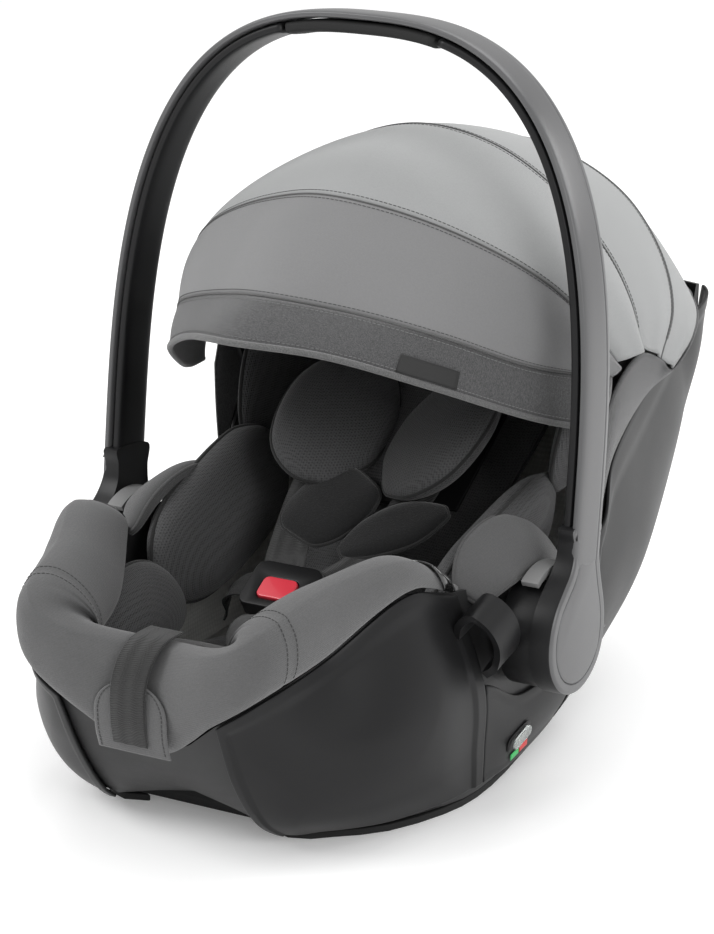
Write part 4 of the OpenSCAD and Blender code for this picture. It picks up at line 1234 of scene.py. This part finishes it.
LEVEL = (166.0, -9.0, 34.0)  # middle of the level window on the right side cover
LEVEL_TILT = math.radians(15)
BEZEL = (17.5, 7.2)  # half length and half height of the dark frame round the window
MARKS = ((1, -12.0, -0.6), (2, 0.6, 12.0))  # green and red bar: material, start and end along the window
MARK_LOW, MARK_HIGH = -15.5, -10.0  # the bars' lower and upper edge below the window's middle


def level_point(s, t, out):
    """A point s along and t above the level window's middle, on the side cover's leaning face."""
    y = LEVEL[1] + s * math.cos(LEVEL_TILT) - t * math.sin(LEVEL_TILT)
    z = LEVEL[2] + s * math.sin(LEVEL_TILT) + t * math.cos(LEVEL_TILT)
    up = z - LEVEL[2]
    lean = -1.0 + 0.034 * (y - LEVEL[1]) + (0.115 if up > 0 else 0.2) * up
    return place(LEVEL[0] + out + lean, y, z)


class CARRIER_OT_window(bpy.types.Operator):
    """Sets the level window with its coloured bars into the side cover"""

    bl_idname = "carrier.window"
    bl_label = "Level window"

    def execute(self, context):
        softened("level_window", "level_lens", "carrier", FINISHES["window"], "window", 0.0008)

        def frame_point(a, b):
            c, d = math.cos(2 * math.pi * a), math.sin(2 * math.pi * a)
            s, t = math.copysign(abs(c) ** 0.4, c) * BEZEL[0] * b, math.copysign(abs(d) ** 0.8, d) * BEZEL[1] * b
            return level_point(s, t, 0.7)

        marks = [skin(frame_point, 32, 3, wrap=True)]
        for material, near, far in MARKS:
            bar = lambda a, b: level_point(near + (far - near) * a, MARK_LOW + (MARK_HIGH - MARK_LOW) * b, 1.0)
            marks.append(skin(bar, 6, 3, material=material))
        bars = join(*(thickened(m, 0.0006) for m in marks))
        finished(bars, "level_marks", "carrier", [FINISHES["black"], FINISHES["green"], FINISHES["red_mark"]], "window")
        return {"FINISHED"}


class CARRIER_OT_stage(bpy.types.Operator):
    """Sets the pale floor, the soft lights and the camera"""

    bl_idname = "carrier.stage"
    bl_label = "Stage"

    def execute(self, context):
        scene = context.scene
        bm = bmesh.new()
        bmesh.ops.create_grid(bm, x_segments=2, y_segments=2, size=30.0)
        mesh = bpy.data.meshes.new("studio_floor")
        bm.to_mesh(mesh)
        bm.free()
        floor = bpy.data.objects.new("studio_floor", mesh)
        scene.collection.objects.link(floor)
        paper = Finish("floor_paper", 0.32, specular=0.35)
        paper.colour(paper.blend(paper.cloud(0.6, 2.0), (0.93, 0.93, 0.93), (0.955, 0.955, 0.955)))
        paper.shader.inputs["Emission Color"].default_value = (1, 1, 1, 1)
        paper.shader.inputs["Emission Strength"].default_value = 0.16
        mesh.materials.append(paper.material)
        world = bpy.data.worlds.new("studio")
        world.use_nodes = True
        world.node_tree.nodes["Background"].inputs["Color"].default_value = (1, 1, 1, 1)
        world.node_tree.nodes["Background"].inputs["Strength"].default_value = 0.75
        scene.world = world
        scene.view_settings.view_transform = "Standard"
        aim = Vector((0, 0, 0.25))
        for name, at, size, power in (("key", (-2.2, -1.9, 2.6), 2.0, 70.0), ("fill", (2.9, -1.6, 1.7), 1.8, 42.0),
                                      ("top", (0.3, 1.3, 3.0), 2.6, 42.0), ("rim", (2.2, 2.6, 1.5), 1.4, 26.0)):
            data = bpy.data.lights.new(name, "AREA")
            data.shape, data.size, data.energy = "DISK", size, power
            lamp = bpy.data.objects.new(name, data)
            scene.collection.objects.link(lamp)
            lamp.location = at
            lamp.rotation_euler = (aim - Vector(at)).to_track_quat("-Z", "Y").to_euler()
        data = bpy.data.cameras.new("camera")
        cam = bpy.data.objects.new("camera", data)
        scene.collection.objects.link(cam)
        az, el, reach = math.radians(30.35), math.radians(17.05), 2.6105
        back = Vector((math.sin(az) * math.cos(el), -math.cos(az) * math.cos(el), math.sin(el)))
        cam.location = place(0, 27.3, 214.9) + back * reach
        cam.rotation_euler = (-back).to_track_quat("-Z", "Y").to_euler()
        data.sensor_width = 36.0
        data.lens = 3331.0 * 36.0 / 934.0
        scene.camera = cam
        return {"FINISHED"}


class CARRIER_PT_panel(bpy.types.Panel):
    """Sizes, colours and build steps of the carrier"""

    bl_idname = "CARRIER_PT_panel"
    bl_label = "Infant carrier seat"
    bl_space_type = "VIEW_3D"
    bl_region_type = "UI"
    bl_category = "Carrier"

    def draw(self, context):
        layout = self.layout
        for group in (context.scene.carrier_sizes, context.scene.carrier_colours):
            box = layout.box()
            for key in group.bl_rna.properties.keys():
                if key not in ("rna_type", "name"):
                    box.prop(group, key)
        for step in STEPS:
            layout.operator(step.bl_idname)


STEPS = (CARRIER_OT_finishes, CARRIER_OT_stage, CARRIER_OT_shell, CARRIER_OT_covers, CARRIER_OT_foot, CARRIER_OT_seat,
         CARRIER_OT_headrest, CARRIER_OT_harness, CARRIER_OT_handle, CARRIER_OT_hubs, CARRIER_OT_canopy,
         CARRIER_OT_visor, CARRIER_OT_window)
CLASSES = (CarrierColours, CarrierSizes, *STEPS, CARRIER_PT_panel)


def register():
    for cls in CLASSES:
        bpy.utils.register_class(cls)
    bpy.types.Scene.carrier_colours = PointerProperty(type=CarrierColours)
    bpy.types.Scene.carrier_sizes = PointerProperty(type=CarrierSizes)


def unregister():
    del bpy.types.Scene.carrier_sizes
    del bpy.types.Scene.carrier_colours
    for cls in reversed(CLASSES):
        bpy.utils.unregister_class(cls)


def main():
    register()
    for step in STEPS:
        group, name = step.bl_idname.split(".")
        getattr(getattr(bpy.ops, group), name)()


if __name__ == "__main__":
    main()
